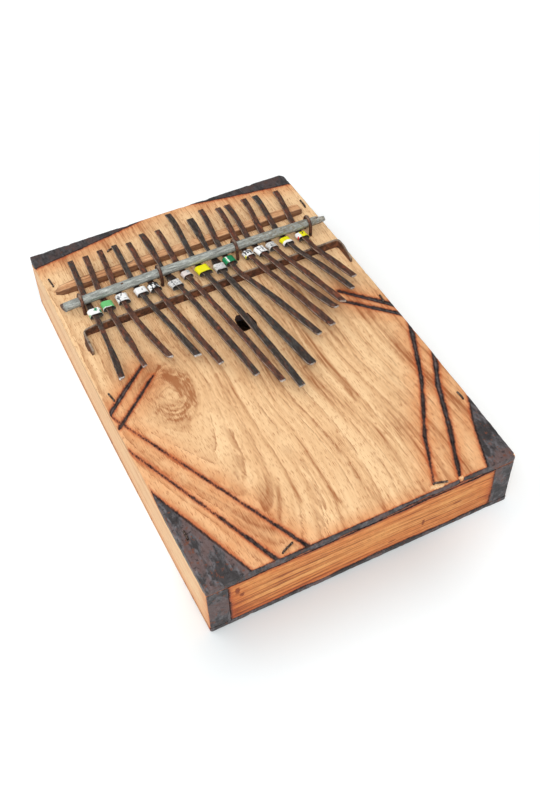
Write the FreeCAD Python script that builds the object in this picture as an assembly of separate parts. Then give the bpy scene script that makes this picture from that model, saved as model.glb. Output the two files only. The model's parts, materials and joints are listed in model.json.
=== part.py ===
import FreeCAD, Part

import math
import os
from collections import namedtuple

# A box mbira. Nailed boards make a hollow box; fifteen sprung steel tines lie on its
# soundboard, pressed down between a backrest and a bridge by a rod that four wires tie
# down; each tine carries a loose tin cuff that buzzes.
#
# Frame: origin at the centre of the box's underside, +X to the player's right, +Y towards
# the head, where the tines are clamped, and +Z up. Millimetres. Heights named "rise" are
# measured from the top of the soundboard.

Vector = FreeCAD.Vector

# Box
BOX_WIDTH = 200.0
BOX_LENGTH = 304.0
BOX_HEIGHT = 45.0
SIDE_BOW = 1.5
SOUNDBOARD_THICKNESS = 6.0
BACK_BOARD_THICKNESS = 4.0
SIDE_WALL_THICKNESS = 13.0
HEAD_WALL_THICKNESS = 24.0
FOOT_WALL_THICKNESS = 12.0
EDGE_ROUND = 1.2
HEAD_RIGHT_CHIP = 5.0

# Sound hole, cut by hand with a knife: corners as (x, y)
SOUND_HOLE = [
    (0.5, 16.0),
    (3.0, 14.0),
    (12.5, 15.0),
    (13.5, 18.5),
    (12.0, 29.0),
    (4.0, 30.0),
    (1.5, 27.0),
]

# Backrest: a split stick under the butt ends of the tines
BACKREST_FRONT = 102.5
BACKREST_DEPTH = 7.8
BACKREST_HEIGHT = 5.0
BACKREST_LEFT = -96.0
BACKREST_RIGHT = 92.0
BACKREST_FRONT_BEVEL = 0.7
BACKREST_REAR_BEVEL = 0.9

# How the backrest dwindles at its two ends: distance in from the end, and the section's
# depth and height there as shares of the full ones
BACKREST_LEFT_POINT = [(0.0, 0.2, 0.5), (4.0, 0.85, 0.85), (14.0, 1.0, 1.0)]
BACKREST_RIGHT_ROUND = [(5.0, 1.0, 1.0), (1.2, 0.92, 0.9), (0.0, 0.7, 0.6)]

# Bridge: a flat steel strip on edge with both ends bent forward and driven in; its top
# edge falls away at the left end
BRIDGE_THICKNESS = 1.3
BRIDGE_HEIGHT = 7.0
BRIDGE_LEFT_HEIGHT = 5.0
BRIDGE_LEFT_SLOPE_START = -84.5
BRIDGE_FRONT = 58.7
BRIDGE_LEFT = -93.0
BRIDGE_RIGHT = 98.0
BRIDGE_BEND_RADIUS = 2.2
BRIDGE_LEG = 18.5
BRIDGE_LEG_TIP_HEIGHT = 3.6
BRIDGE_LEG_TAPER = 11.0
BRIDGE_TANG_WIDTH = 4.0
BRIDGE_TANG_DEPTH = 5.0

# Pressure rod: a length of galvanised bar, bent a little so that its ends lie nearer the
# player, hammered blunt at its right end and cut askew at its left
ROD_RADIUS = 3.35
ROD_RISE = 8.15
ROD_Y = 84.6
ROD_BEND = 2.2
ROD_HALF_LENGTH = 98.5
ROD_FLAT_LENGTH = 14.0
ROD_SKEW_ANGLE = 28.0
ROD_SKEW_INSET = 1.5
ROD_BEND_SHARES = [0.0, 0.25, 0.5, 0.75, 1.0]

# The rod's hammered end: share of the way to the tip, and the section's half depth and half
# height there as shares of the rod's radius
ROD_HAMMERED_END = [(0.0, 1.0, 1.0), (0.6, 0.95, 0.86), (1.0, 0.62, 0.5)]

# Wire ties over the rod, clinched under the soundboard
TIE_WIRE_RADIUS = 1.15
TIE_X = [-84.8, -28.0, 28.8, 85.5]
TIE_CLINCH = 5.0
TIE_BEND_RADIUS = 1.65

# Tines
TINE_THICKNESS = 1.5
TINE_TIP_RISE = 12.0
TINE_REST_WIDTH = 4.1
TINE_ROD_WIDTH = 4.2
TINE_NECK_WIDTH = 3.5
TINE_BRIDGE_WIDTH = 3.8
TINE_REST_INSET = 1.6
TINE_SAG = 0.12
TIP_NARROWING = 0.94
TONGUE_PIVOT_SHARE = 0.15
TONGUE_GAP = 0.3
TONGUE_CURVE = 0.55

# Where a tine's width is set: shares of the way from rod to bridge and from bridge to tip,
# and how far the width has changed from the bridge's to the middle's at the tongue's root
SHOULDER_SHARE = 0.24
NECK_SHARE = 0.6
ROOT_SHARE = 0.15
ROOT_SPREAD = 0.4
MIDDLE_SHARE = 0.5
END_SHARE = 0.85

# Clearances that keep neighbouring pieces apart
CONTACT_GAP = 0.1
BRIDGE_SLOPE_GAP = 0.3
BACKREST_SLOPE_GAP = 0.3

# Tin cuffs
CUFF_METAL = 0.3
CUFF_HEIGHT = 3.3
CUFF_TOP_ROUND = 1.5
CUFF_BOTTOM_ROUND = 0.8
CUFF_SEAM = 0.5
CUFF_TOP_CLEARANCE = 0.3

# Nails
NAIL_RADIUS = 0.65
NAIL_DEPTH = 16.0
NAIL_BEND_RADIUS = 1.3
BACK_NAIL_LENGTH = 18.0
BACK_NAIL_HEAD_RADIUS = 1.8
BACK_NAIL_HEAD = 0.8
BACK_NAIL_SIDE_Y = [-105.0, 0.0, 105.0]
BACK_NAIL_END_X = [-45.0, 45.0]

# Tines from the player's left: butt end, x under the rod, x on the bridge, tip, how far the
# tongue bows to the right between bridge and tip, widths at the butt, at the shoulder
# behind the cuff, halfway along the tongue and at the tip, and the tip's corner radius
Tine = namedtuple(
    "Tine",
    "butt_x butt_y rod_x bridge_x tip_x tip_y bow butt_w shoulder_w middle_w tip_w tip_round",
)
TINES = [
    Tine(-78.1, 124.0, -80.5, -81.0, -86.0, 2.0, 0.3, 4.0, 4.4, 3.7, 4.2, 0.8),
    Tine(-67.1, 124.0, -70.0, -70.6, -69.5, 5.0, 0.0, 4.3, 4.1, 4.6, 3.4, 0.6),
    Tine(-56.3, 125.0, -58.6, -59.3, -52.1, 4.5, -1.0, 4.1, 4.1, 4.3, 4.7, 1.9),
    Tine(-45.5, 125.0, -45.7, -44.8, -36.4, -2.5, 0.0, 4.2, 4.1, 4.2, 5.0, 0.3),
    Tine(-35.5, 123.0, -35.2, -34.3, -26.3, -15.0, -0.3, 4.1, 4.1, 4.6, 4.4, 1.0),
    Tine(-24.0, 127.0, -22.2, -19.6, -10.7, -34.0, 0.2, 3.9, 6.2, 4.7, 4.6, 1.5),
    Tine(-12.5, 125.5, -11.6, -9.9, 1.0, -46.0, 0.2, 4.0, 3.9, 4.2, 4.3, 1.2),
    Tine(0.6, 137.0, 0.3, 1.3, 9.7, -55.0, 0.9, 4.4, 4.4, 4.5, 4.7, 0.3),
    Tine(13.0, 126.0, 12.6, 11.8, 23.9, -42.0, -0.3, 5.2, 6.2, 4.8, 6.3, 2.4),
    Tine(23.6, 131.0, 20.8, 20.8, 39.9, -21.0, 0.4, 4.2, 4.4, 5.2, 4.6, 1.4),
    Tine(35.7, 127.5, 34.9, 36.6, 51.3, -17.5, 0.0, 4.2, 4.1, 4.6, 4.9, 1.0),
    Tine(42.8, 127.5, 43.7, 46.2, 61.0, -5.5, -1.1, 4.4, 4.1, 4.4, 4.8, 1.6),
    Tine(56.3, 128.0, 54.0, 55.3, 67.5, -1.7, 0.0, 4.4, 3.9, 4.8, 4.6, 1.0),
    Tine(65.2, 127.5, 65.1, 66.6, 79.1, 6.0, 0.5, 4.6, 4.2, 4.7, 4.7, 1.4),
    Tine(81.1, 125.5, 77.9, 77.5, 85.8, 15.7, -0.3, 4.2, 4.2, 4.7, 4.8, 1.2),
]

# Cuffs from the player's left: distance of the middle along Y, how far the cuff hangs to
# the right of its tine's middle, width and length
Cuff = namedtuple("Cuff", "middle_y offset width length")
CUFFS = [
    Cuff(70.5, 1.1, 9.0, 6.8),
    Cuff(73.6, 0.6, 8.2, 7.6),
    Cuff(75.5, 0.5, 8.2, 8.6),
    Cuff(76.2, 0.8, 8.4, 7.2),
    Cuff(75.9, -0.4, 7.8, 7.0),
    Cuff(70.8, -0.6, 8.3, 7.2),
    Cuff(77.4, 0.5, 7.0, 5.6),
    Cuff(76.0, 0.5, 9.8, 8.2),
    Cuff(71.6, -0.1, 8.0, 7.2),
    Cuff(76.2, 0.4, 8.3, 7.4),
    Cuff(76.0, 0.2, 7.2, 6.4),
    Cuff(74.9, 0.3, 7.8, 8.0),
    Cuff(76.0, -0.5, 7.0, 6.4),
    Cuff(75.6, -0.4, 7.6, 7.2),
    Cuff(75.8, -0.4, 8.2, 6.2),
]

# Bent nails on the soundboard: place of the shank (x, y) and the bent part's direction in
# degrees from +X, and its length
SOUNDBOARD_NAILS = [
    (-95.0, 114.5, 95.0, 6.5),
    (-95.0, -2.5, 100.0, 5.5),
    (-95.0, -117.0, 90.0, 4.5),
    (97.0, 108.5, 90.0, 6.5),
    (97.0, -4.5, 85.0, 5.0),
    (96.5, -101.0, 95.0, 4.5),
    (-52.0, -149.2, 23.0, 7.0),
    (46.0, -147.6, -18.0, 7.0),
    (-49.0, 131.0, 12.0, 3.0),
]

# Extra reach of a cutting shape past what it cuts, and the closeness of equal lengths
CUT_MARGIN = 1.0
TOLERANCE = 0.01

DIAGONAL = math.sqrt(0.5)
TOP = BOX_HEIGHT
BOARD_UNDERSIDE = TOP - SOUNDBOARD_THICKNESS
HALF_WIDTH = BOX_WIDTH / 2
HALF_LENGTH = BOX_LENGTH / 2
WALL_HEIGHT = BOARD_UNDERSIDE - BACK_BOARD_THICKNESS
CAVITY_HALF_WIDTH = HALF_WIDTH - SIDE_WALL_THICKNESS
ROD_Z = TOP + ROD_RISE
BRIDGE_REAR = BRIDGE_FRONT + BRIDGE_THICKNESS
TINE_REST_Z = TOP + BACKREST_HEIGHT + BACKREST_SLOPE_GAP + TINE_THICKNESS / 2
TINE_ROD_Z = ROD_Z - ROD_RADIUS - CONTACT_GAP - TINE_THICKNESS / 2
TINE_BRIDGE_Z = TOP + BRIDGE_HEIGHT + BRIDGE_SLOPE_GAP + TINE_THICKNESS / 2


def box(x0, x1, y0, y1, z0, z1):
    return Part.makeBox(x1 - x0, y1 - y0, z1 - z0, Vector(x0, y0, z0))


def bowed_board(z0, height):
    """The box's outline, with gently bowed long sides, as a board."""
    corners = [
        Vector(-HALF_WIDTH, -HALF_LENGTH, z0),
        Vector(HALF_WIDTH, -HALF_LENGTH, z0),
        Vector(HALF_WIDTH, HALF_LENGTH, z0),
        Vector(-HALF_WIDTH, HALF_LENGTH, z0),
    ]
    bow = HALF_WIDTH + SIDE_BOW
    edges = [
        Part.makeLine(corners[0], corners[1]),
        Part.Arc(corners[1], Vector(bow, 0, z0), corners[2]).toShape(),
        Part.makeLine(corners[2], corners[3]),
        Part.Arc(corners[3], Vector(-bow, 0, z0), corners[0]).toShape(),
    ]
    return Part.Face(Part.Wire(edges)).extrude(Vector(0, 0, height))


def prism(points, z0, height):
    corners = [Vector(x, y, z0) for x, y in points]
    return Part.Face(Part.makePolygon(corners + corners[:1])).extrude(Vector(0, 0, height))


def swept_wire(edges, radius, start, direction):
    """A round wire of the given radius along joined edges."""
    ring = Part.Wire(Part.makeCircle(radius, start, direction))
    return Part.Wire(edges).makePipeShell([ring], True, False)


def between(a, b, share):
    return a + (b - a) * share


def bent_nail(x, y, heading, length):
    """A headless nail, driven in and bent over along the board."""
    turn = math.radians(heading)
    ahead = Vector(math.cos(turn), math.sin(turn), 0)
    down = Vector(x, y, TOP - NAIL_DEPTH)
    lie = NAIL_RADIUS + CONTACT_GAP
    neck = Vector(x, y, TOP + lie - NAIL_BEND_RADIUS)
    bend_end = Vector(x, y, TOP + lie) + ahead * NAIL_BEND_RADIUS
    centre = neck + ahead * NAIL_BEND_RADIUS
    half = DIAGONAL * NAIL_BEND_RADIUS
    bend_middle = centre - ahead * half + Vector(0, 0, half)
    edges = [
        Part.makeLine(down, neck),
        Part.Arc(neck, bend_middle, bend_end).toShape(),
        Part.makeLine(bend_end, bend_end + ahead * length),
    ]
    return swept_wire(edges, NAIL_RADIUS, down, Vector(0, 0, 1))


def make_soundboard_nails():
    return [bent_nail(*nail) for nail in SOUNDBOARD_NAILS]


def back_nail(x, y):
    shank = Part.makeCylinder(NAIL_RADIUS, BACK_NAIL_LENGTH, Vector(x, y, 0))
    head = Part.makeCone(BACK_NAIL_HEAD_RADIUS, NAIL_RADIUS, BACK_NAIL_HEAD, Vector(x, y, 0))
    return shank.fuse(head).removeSplitter()


def make_back_board_nails():
    side_x = HALF_WIDTH - SIDE_WALL_THICKNESS / 2
    end_y = HALF_LENGTH - FOOT_WALL_THICKNESS / 2
    places = [(side * side_x, y) for side in (-1, 1) for y in BACK_NAIL_SIDE_Y]
    places += [(x, side * end_y) for side in (-1, 1) for x in BACK_NAIL_END_X]
    return [back_nail(x, y) for x, y in places]


def rod_y(x):
    """Distance along Y of the bent rod's axis."""
    return ROD_Y - ROD_BEND * (x / ROD_HALF_LENGTH) ** 2


def make_rod_tie(x):
    """A staple of soft wire: over the rod, through the board and clinched beneath it."""
    reach = ROD_RADIUS + TIE_WIRE_RADIUS + CONTACT_GAP
    under = BOARD_UNDERSIDE - TIE_WIRE_RADIUS - CONTACT_GAP
    bend = TIE_BEND_RADIUS
    half = DIAGONAL * bend
    front = rod_y(x) - reach
    rear = rod_y(x) + reach
    toe = Vector(x, front - bend - TIE_CLINCH, under)
    heel = Vector(x, rear + bend + TIE_CLINCH, under)
    front_bend = Vector(x, front - bend, under)
    front_leg = Vector(x, front, under + bend)
    rear_bend = Vector(x, rear + bend, under)
    rear_leg = Vector(x, rear, under + bend)
    front_mid = Vector(x, front - bend + half, under + bend - half)
    rear_mid = Vector(x, rear + bend - half, under + bend - half)
    front_top = Vector(x, front, ROD_Z)
    rear_top = Vector(x, rear, ROD_Z)
    edges = [
        Part.makeLine(toe, front_bend),
        Part.Arc(front_bend, front_mid, front_leg).toShape(),
        Part.makeLine(front_leg, front_top),
        Part.Arc(front_top, Vector(x, rod_y(x), ROD_Z + reach), rear_top).toShape(),
        Part.makeLine(rear_top, rear_leg),
        Part.Arc(rear_leg, rear_mid, rear_bend).toShape(),
        Part.makeLine(rear_bend, heel),
    ]
    return swept_wire(edges, TIE_WIRE_RADIUS, toe, Vector(0, 1, 0))


def make_pressure_rod():
    """A slightly bent round bar, its right end hammered to a blunt taper."""
    def ring(x, half_depth, half_height):
        centre = Vector(x, rod_y(x), ROD_Z)
        if abs(half_depth - half_height) < TOLERANCE:
            return Part.Wire(Part.makeCircle(half_depth, centre, Vector(1, 0, 0)))
        oval = Part.Ellipse(centre, half_depth, half_height)
        placed = oval.toShape()
        placed.rotate(centre, Vector(1, 1, 1), 120.0)
        return Part.Wire(placed)

    shoulder = ROD_HALF_LENGTH - ROD_FLAT_LENGTH
    round_part = [
        ring(between(-ROD_HALF_LENGTH, shoulder, share), ROD_RADIUS, ROD_RADIUS)
        for share in ROD_BEND_SHARES
    ]
    hammered_part = [
        ring(between(shoulder, ROD_HALF_LENGTH, share), ROD_RADIUS * depth, ROD_RADIUS * height)
        for share, depth, height in ROD_HAMMERED_END
    ]
    bar = Part.makeLoft(round_part, True, False)
    bar = bar.fuse(Part.makeLoft(hammered_part, True, True)).removeSplitter()
    size = 6 * ROD_RADIUS
    askew = Part.makeBox(size, size, size, Vector(-size, -size / 2, -size / 2))
    askew.rotate(Vector(0, 0, 0), Vector(0, 0, 1), ROD_SKEW_ANGLE)
    left = ROD_SKEW_INSET - ROD_HALF_LENGTH
    askew.translate(Vector(left, rod_y(left), ROD_Z))
    return bar.cut(askew)


def bridge_bend(side_x, sign, radius):
    """Points on a bend of the bridge: on the strip, halfway round and on the leg."""
    outer = BRIDGE_BEND_RADIUS + BRIDGE_THICKNESS
    centre = Vector(side_x - sign * outer, BRIDGE_REAR - outer, TOP)
    half = DIAGONAL * radius
    return (
        centre + Vector(0, radius, 0),
        centre + Vector(sign * half, half, 0),
        centre + Vector(sign * radius, 0, 0),
    )


def make_bridge():
    """A strip on edge, with two legs bent towards the player and tapered to driven tangs."""
    leg_end = BRIDGE_FRONT - BRIDGE_LEG
    outer_radius = BRIDGE_BEND_RADIUS + BRIDGE_THICKNESS
    left_outer = bridge_bend(BRIDGE_LEFT, -1, outer_radius)
    left_inner = bridge_bend(BRIDGE_LEFT, -1, BRIDGE_BEND_RADIUS)
    right_outer = bridge_bend(BRIDGE_RIGHT, 1, outer_radius)
    right_inner = bridge_bend(BRIDGE_RIGHT, 1, BRIDGE_BEND_RADIUS)
    left_foot = Vector(BRIDGE_LEFT, leg_end, TOP)
    left_foot_inner = Vector(BRIDGE_LEFT + BRIDGE_THICKNESS, leg_end, TOP)
    right_foot = Vector(BRIDGE_RIGHT, leg_end, TOP)
    right_foot_inner = Vector(BRIDGE_RIGHT - BRIDGE_THICKNESS, leg_end, TOP)
    edges = [
        Part.makeLine(left_foot, left_outer[2]),
        Part.Arc(*left_outer[::-1]).toShape(),
        Part.makeLine(left_outer[0], right_outer[0]),
        Part.Arc(*right_outer).toShape(),
        Part.makeLine(right_outer[2], right_foot),
        Part.makeLine(right_foot, right_foot_inner),
        Part.makeLine(right_foot_inner, right_inner[2]),
        Part.Arc(*right_inner[::-1]).toShape(),
        Part.makeLine(right_inner[0], left_inner[0]),
        Part.Arc(*left_inner).toShape(),
        Part.makeLine(left_inner[2], left_foot_inner),
        Part.makeLine(left_foot_inner, left_foot),
    ]
    strip = Part.Face(Part.Wire(edges)).extrude(Vector(0, 0, BRIDGE_HEIGHT))
    full = TOP + BRIDGE_HEIGHT
    above = full + CUT_MARGIN
    beside = BRIDGE_LEFT - CUT_MARGIN
    leg_slope = [
        Vector(-HALF_WIDTH, leg_end, TOP + BRIDGE_LEG_TIP_HEIGHT),
        Vector(-HALF_WIDTH, leg_end + BRIDGE_LEG_TAPER, full),
        Vector(-HALF_WIDTH, leg_end + BRIDGE_LEG_TAPER, above),
        Vector(-HALF_WIDTH, leg_end - CUT_MARGIN, above),
        Vector(-HALF_WIDTH, leg_end - CUT_MARGIN, TOP + BRIDGE_LEG_TIP_HEIGHT),
    ]
    left_slope = [
        Vector(beside, 0, TOP + BRIDGE_LEFT_HEIGHT),
        Vector(BRIDGE_LEFT_SLOPE_START, 0, full),
        Vector(BRIDGE_LEFT_SLOPE_START, 0, above),
        Vector(beside, 0, above),
    ]
    across = Vector(BOX_WIDTH, 0, 0)
    back = Vector(0, HALF_LENGTH, 0)
    for outline, run in ((leg_slope, across), (left_slope, back)):
        strip = strip.cut(Part.Face(Part.makePolygon(outline + outline[:1])).extrude(run))
    tang_end = leg_end + BRIDGE_TANG_WIDTH
    below = TOP - BRIDGE_TANG_DEPTH
    joined = TOP + CUT_MARGIN
    for x in (BRIDGE_LEFT, BRIDGE_RIGHT - BRIDGE_THICKNESS):
        strip = strip.fuse(box(x, x + BRIDGE_THICKNESS, leg_end, tang_end, below, joined))
    return strip.removeSplitter()


def backrest_section(x, depth_share, height_share):
    """The backrest's outline across X: upright front, flat top, bevelled rear edge."""
    middle = BACKREST_FRONT + BACKREST_DEPTH / 2
    half = BACKREST_DEPTH / 2 * depth_share
    height = BACKREST_HEIGHT * height_share
    front_bevel = BACKREST_FRONT_BEVEL * depth_share
    rear_bevel = BACKREST_REAR_BEVEL * depth_share
    points = [
        Vector(x, middle - half, TOP),
        Vector(x, middle - half, TOP + height - front_bevel * height_share),
        Vector(x, middle - half + front_bevel, TOP + height),
        Vector(x, middle + half - rear_bevel, TOP + height),
        Vector(x, middle + half, TOP + height - 2 * rear_bevel * height_share),
        Vector(x, middle + half, TOP),
    ]
    return Part.makePolygon(points + points[:1])


def make_backrest():
    """A split stick, pointed at its left end and rounded at its right."""
    sections = [
        backrest_section(BACKREST_LEFT + inset, depth, height)
        for inset, depth, height in BACKREST_LEFT_POINT
    ]
    sections += [
        backrest_section(BACKREST_RIGHT - inset, depth, height)
        for inset, depth, height in BACKREST_RIGHT_ROUND
    ]
    return Part.makeLoft(sections, True, True)


def between_curves(first, second, run):
    """The area between two smooth curves whose ends lie side by side, drawn out along run."""
    def smooth(points):
        curve = Part.BSplineCurve()
        curve.interpolate(points)
        return curve.toShape()

    edges = [
        smooth(first),
        Part.makeLine(first[-1], second[-1]),
        smooth(second[::-1]),
        Part.makeLine(second[0], first[0]),
    ]
    return Part.Face(Part.Wire(edges)).extrude(run)


def outside_tip(x, y, width, corner_round):
    """What lies around a tine's tip once its two corners are rounded off."""
    flat = width / 2 - corner_round
    low = TOP
    high = TOP + 2 * TINE_TIP_RISE
    around = box(x - width, x + width, y - CUT_MARGIN, y + corner_round, low, high)
    inside = box(x - flat, x + flat, y, y + corner_round, low, high)
    for side in (-1, 1):
        centre = Vector(x + side * flat, y + corner_round, low)
        inside = inside.fuse(Part.makeCylinder(corner_round, high - low, centre))
    return around.cut(inside)


def tongue_point(tine, share):
    """The middle of a tine's tongue, from the bridge (0) to the tip (1)."""
    tip_z = TOP + TINE_TIP_RISE - TINE_THICKNESS / 2
    lift = between(share, math.sin(share * math.pi / 2), TONGUE_CURVE)
    bow = tine.bow * 4 * share * (1 - share)
    return Vector(
        between(tine.bridge_x, tine.tip_x, share) + bow,
        between(BRIDGE_FRONT, tine.tip_y, share),
        between(TINE_BRIDGE_Z, tip_z, lift),
    )


def shank_point(tine, share):
    """The middle of a tine's shank, from under the rod (0) to the bridge (1)."""
    return Vector(
        between(tine.rod_x, tine.bridge_x, share),
        between(rod_y(tine.rod_x), BRIDGE_FRONT, share),
        between(TINE_ROD_Z, TINE_BRIDGE_Z, share),
    )


def make_tine(tine):
    """One tine as a flat bar, sprung between backrest, rod and bridge: shank and tongue.

    The tongue is the part that is plucked. It is parted from the shank a little beyond the
    bridge, where a bending bar seems to turn.
    """
    under_rod = shank_point(tine, 0)
    rest_y = BACKREST_FRONT + TINE_REST_INSET
    rest_share = (rest_y - under_rod.y) / (tine.butt_y - under_rod.y)
    rest = Vector(between(tine.rod_x, tine.butt_x, rest_share), rest_y, TINE_REST_Z)
    rear_slope = (TINE_REST_Z - TINE_ROD_Z) / (rest_y - under_rod.y)
    butt = Vector(tine.butt_x, tine.butt_y, TINE_REST_Z + rear_slope * (tine.butt_y - rest_y))
    sag = Vector(0, 0, -TINE_SAG)
    neck_w = min(tine.shoulder_w, TINE_NECK_WIDTH)
    stations = [
        (butt, tine.butt_w),
        (rest, TINE_REST_WIDTH),
        (under_rod, TINE_ROD_WIDTH),
        (shank_point(tine, SHOULDER_SHARE) + sag, tine.shoulder_w),
        (shank_point(tine, NECK_SHARE) + sag, neck_w),
        (shank_point(tine, 1), TINE_BRIDGE_WIDTH),
        (tongue_point(tine, ROOT_SHARE), between(TINE_BRIDGE_WIDTH, tine.middle_w, ROOT_SPREAD)),
        (tongue_point(tine, MIDDLE_SHARE), tine.middle_w),
        (tongue_point(tine, END_SHARE), tine.tip_w),
        (tongue_point(tine, 1), tine.tip_w * TIP_NARROWING),
    ]
    half = TINE_THICKNESS / 2
    under = [Vector(-HALF_WIDTH, point.y, point.z - half) for point, _ in stations]
    over = [Vector(-HALF_WIDTH, point.y, point.z + half) for point, _ in stations]
    left = [Vector(point.x - width / 2, point.y, TOP) for point, width in stations]
    right = [Vector(point.x + width / 2, point.y, TOP) for point, width in stations]
    side = between_curves(under, over, Vector(BOX_WIDTH, 0, 0))
    plan = between_curves(left, right, Vector(0, 0, 2 * TINE_TIP_RISE))
    bar = side.common(plan)
    tip_w = tine.tip_w * TIP_NARROWING
    bar = bar.cut(outside_tip(tine.tip_x, tine.tip_y, tip_w, tine.tip_round))
    reach = 4 * tine.middle_w
    slot = Part.makeBox(reach, TONGUE_GAP, reach, Vector(-reach / 2, -TONGUE_GAP / 2, -reach / 2))
    slot.rotate(Vector(0, 0, 0), Vector(0, 0, 1), plan_angle(tine))
    slot.translate(tongue_point(tine, TONGUE_PIVOT_SHARE))
    halves = sorted(bar.cut(slot).Solids, key=lambda solid: solid.CenterOfMass.y)
    return halves[1], halves[0]


def plan_angle(tine):
    """Angle of a tongue's width direction from +X, in degrees."""
    return math.degrees(math.atan2(tine.tip_x - tine.bridge_x, BRIDGE_FRONT - tine.tip_y))


def rounded_outline(half_width, low, high, bottom_round, top_round):
    """A wire across Y: a rectangle with its four corners rounded."""
    def arc(cx, cz, radius, start):
        points = []
        for step in (0.0, 45.0, 90.0):
            angle = math.radians(start + step)
            points.append(Vector(cx + radius * math.cos(angle), 0, cz + radius * math.sin(angle)))
        return points

    corners = [
        arc(half_width - top_round, high - top_round, top_round, 0.0),
        arc(-half_width + top_round, high - top_round, top_round, 90.0),
        arc(-half_width + bottom_round, low + bottom_round, bottom_round, 180.0),
        arc(half_width - bottom_round, low + bottom_round, bottom_round, 270.0),
    ]
    edges = []
    for corner, following in zip(corners, corners[1:] + corners[:1]):
        edges.append(Part.Arc(*corner).toShape())
        edges.append(Part.makeLine(corner[2], following[0]))
    return Part.Wire(edges)


def cuff_centre(tine, cuff):
    """The middle of the stretch of tine that a cuff sits on."""
    rod = rod_y(tine.rod_x)
    return shank_point(tine, (rod - cuff.middle_y) / (rod - BRIDGE_FRONT))


def make_cuff(tine, cuff):
    """A strip of tin wrapped loosely round the tine, its ends nearly meeting beneath."""
    high = TINE_THICKNESS / 2 + CUFF_TOP_CLEARANCE + CUFF_METAL
    low = high - CUFF_HEIGHT
    outer = rounded_outline(cuff.width / 2, low, high, CUFF_BOTTOM_ROUND, CUFF_TOP_ROUND)
    inner = rounded_outline(
        cuff.width / 2 - CUFF_METAL,
        low + CUFF_METAL,
        high - CUFF_METAL,
        CUFF_BOTTOM_ROUND - CUFF_METAL,
        CUFF_TOP_ROUND - CUFF_METAL,
    )
    run = Vector(0, cuff.length, 0)
    band = Part.Face(outer).extrude(run).cut(Part.Face(inner).extrude(run))
    seam_corner = Vector(-CUFF_SEAM / 2, 0, low - CUFF_METAL)
    band = band.cut(Part.makeBox(CUFF_SEAM, cuff.length, 3 * CUFF_METAL, seam_corner))
    band.translate(Vector(cuff.offset, -cuff.length / 2, 0))
    along = shank_point(tine, 1) - shank_point(tine, 0)
    slope = math.degrees(math.atan2(along.z, -along.y))
    heading = math.degrees(math.atan2(along.x, -along.y))
    band.rotate(Vector(0, 0, 0), Vector(1, 0, 0), -slope)
    band.rotate(Vector(0, 0, 0), Vector(0, 0, 1), heading)
    band.translate(cuff_centre(tine, cuff))
    return band


def cut_by(shape, tools):
    """Remove the space that each driven-in piece takes up."""
    for tool in tools:
        if shape.BoundBox.intersect(tool.BoundBox):
            shape = shape.cut(tool)
    return shape


def make_boards(driven):
    soundboard = bowed_board(BOARD_UNDERSIDE, SOUNDBOARD_THICKNESS)
    rim = [edge for edge in soundboard.Edges if edge.BoundBox.ZMin > TOP - TOLERANCE]
    soundboard = soundboard.makeFillet(EDGE_ROUND, rim)
    cut_low = BOARD_UNDERSIDE - CUT_MARGIN
    cut_height = SOUNDBOARD_THICKNESS + 2 * CUT_MARGIN
    soundboard = soundboard.cut(prism(SOUND_HOLE, cut_low, cut_height))
    walls = bowed_board(BACK_BOARD_THICKNESS, WALL_HEIGHT)
    wall_top = BOARD_UNDERSIDE
    low = BACK_BOARD_THICKNESS
    inner = CAVITY_HALF_WIDTH
    outer = HALF_WIDTH + SIDE_BOW + CUT_MARGIN
    head_inner = HALF_LENGTH - HEAD_WALL_THICKNESS
    foot_inner = HALF_LENGTH - FOOT_WALL_THICKNESS
    boards = {
        "soundboard": soundboard,
        "back_board": bowed_board(0, BACK_BOARD_THICKNESS),
        "left_wall": walls.common(box(-outer, -inner, -HALF_LENGTH, HALF_LENGTH, low, wall_top)),
        "right_wall": walls.common(box(inner, outer, -HALF_LENGTH, HALF_LENGTH, low, wall_top)),
        "head_wall": box(-inner, inner, head_inner, HALF_LENGTH, low, wall_top),
        "foot_wall": box(-inner, inner, -HALF_LENGTH, -foot_inner, low, wall_top),
    }
    beyond_right = HALF_WIDTH + 2 * CUT_MARGIN
    beyond_head = HALF_LENGTH + CUT_MARGIN
    chip = [
        (HALF_WIDTH - HEAD_RIGHT_CHIP, beyond_head),
        (beyond_right, beyond_head),
        (beyond_right, HALF_LENGTH - HEAD_RIGHT_CHIP),
    ]
    boards["soundboard"] = boards["soundboard"].cut(prism(chip, cut_low, cut_height))
    return {name: cut_by(board, driven) for name, board in boards.items()}


def make_all():
    rod_ties = [make_rod_tie(x) for x in TIE_X]
    soundboard_nails = make_soundboard_nails()
    back_board_nails = make_back_board_nails()
    bridge = make_bridge()
    driven = rod_ties + soundboard_nails + back_board_nails + [bridge]
    nodes = make_boards(driven)
    nodes["backrest"] = make_backrest()
    nodes["pressure_rod"] = make_pressure_rod()
    nodes["bridge"] = bridge
    nodes["rod_ties"] = Part.makeCompound(rod_ties)
    nodes["soundboard_nails"] = Part.makeCompound(soundboard_nails)
    nodes["back_board_nails"] = Part.makeCompound(back_board_nails)
    for number, (tine, cuff) in enumerate(zip(TINES, CUFFS), start=1):
        shank, tongue = make_tine(tine)
        nodes[f"tine_{number:02d}_shank"] = shank
        nodes[f"tine_{number:02d}_tongue"] = tongue
        nodes[f"cuff_{number:02d}"] = make_cuff(tine, cuff)
    return nodes


os.makedirs("parts", exist_ok=True)
for name, shape in make_all().items():
    shape.exportStep(f"parts/{name}.step")
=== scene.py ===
import json
import math

import bpy
import numpy as np
from mathutils import Matrix, Vector


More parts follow.
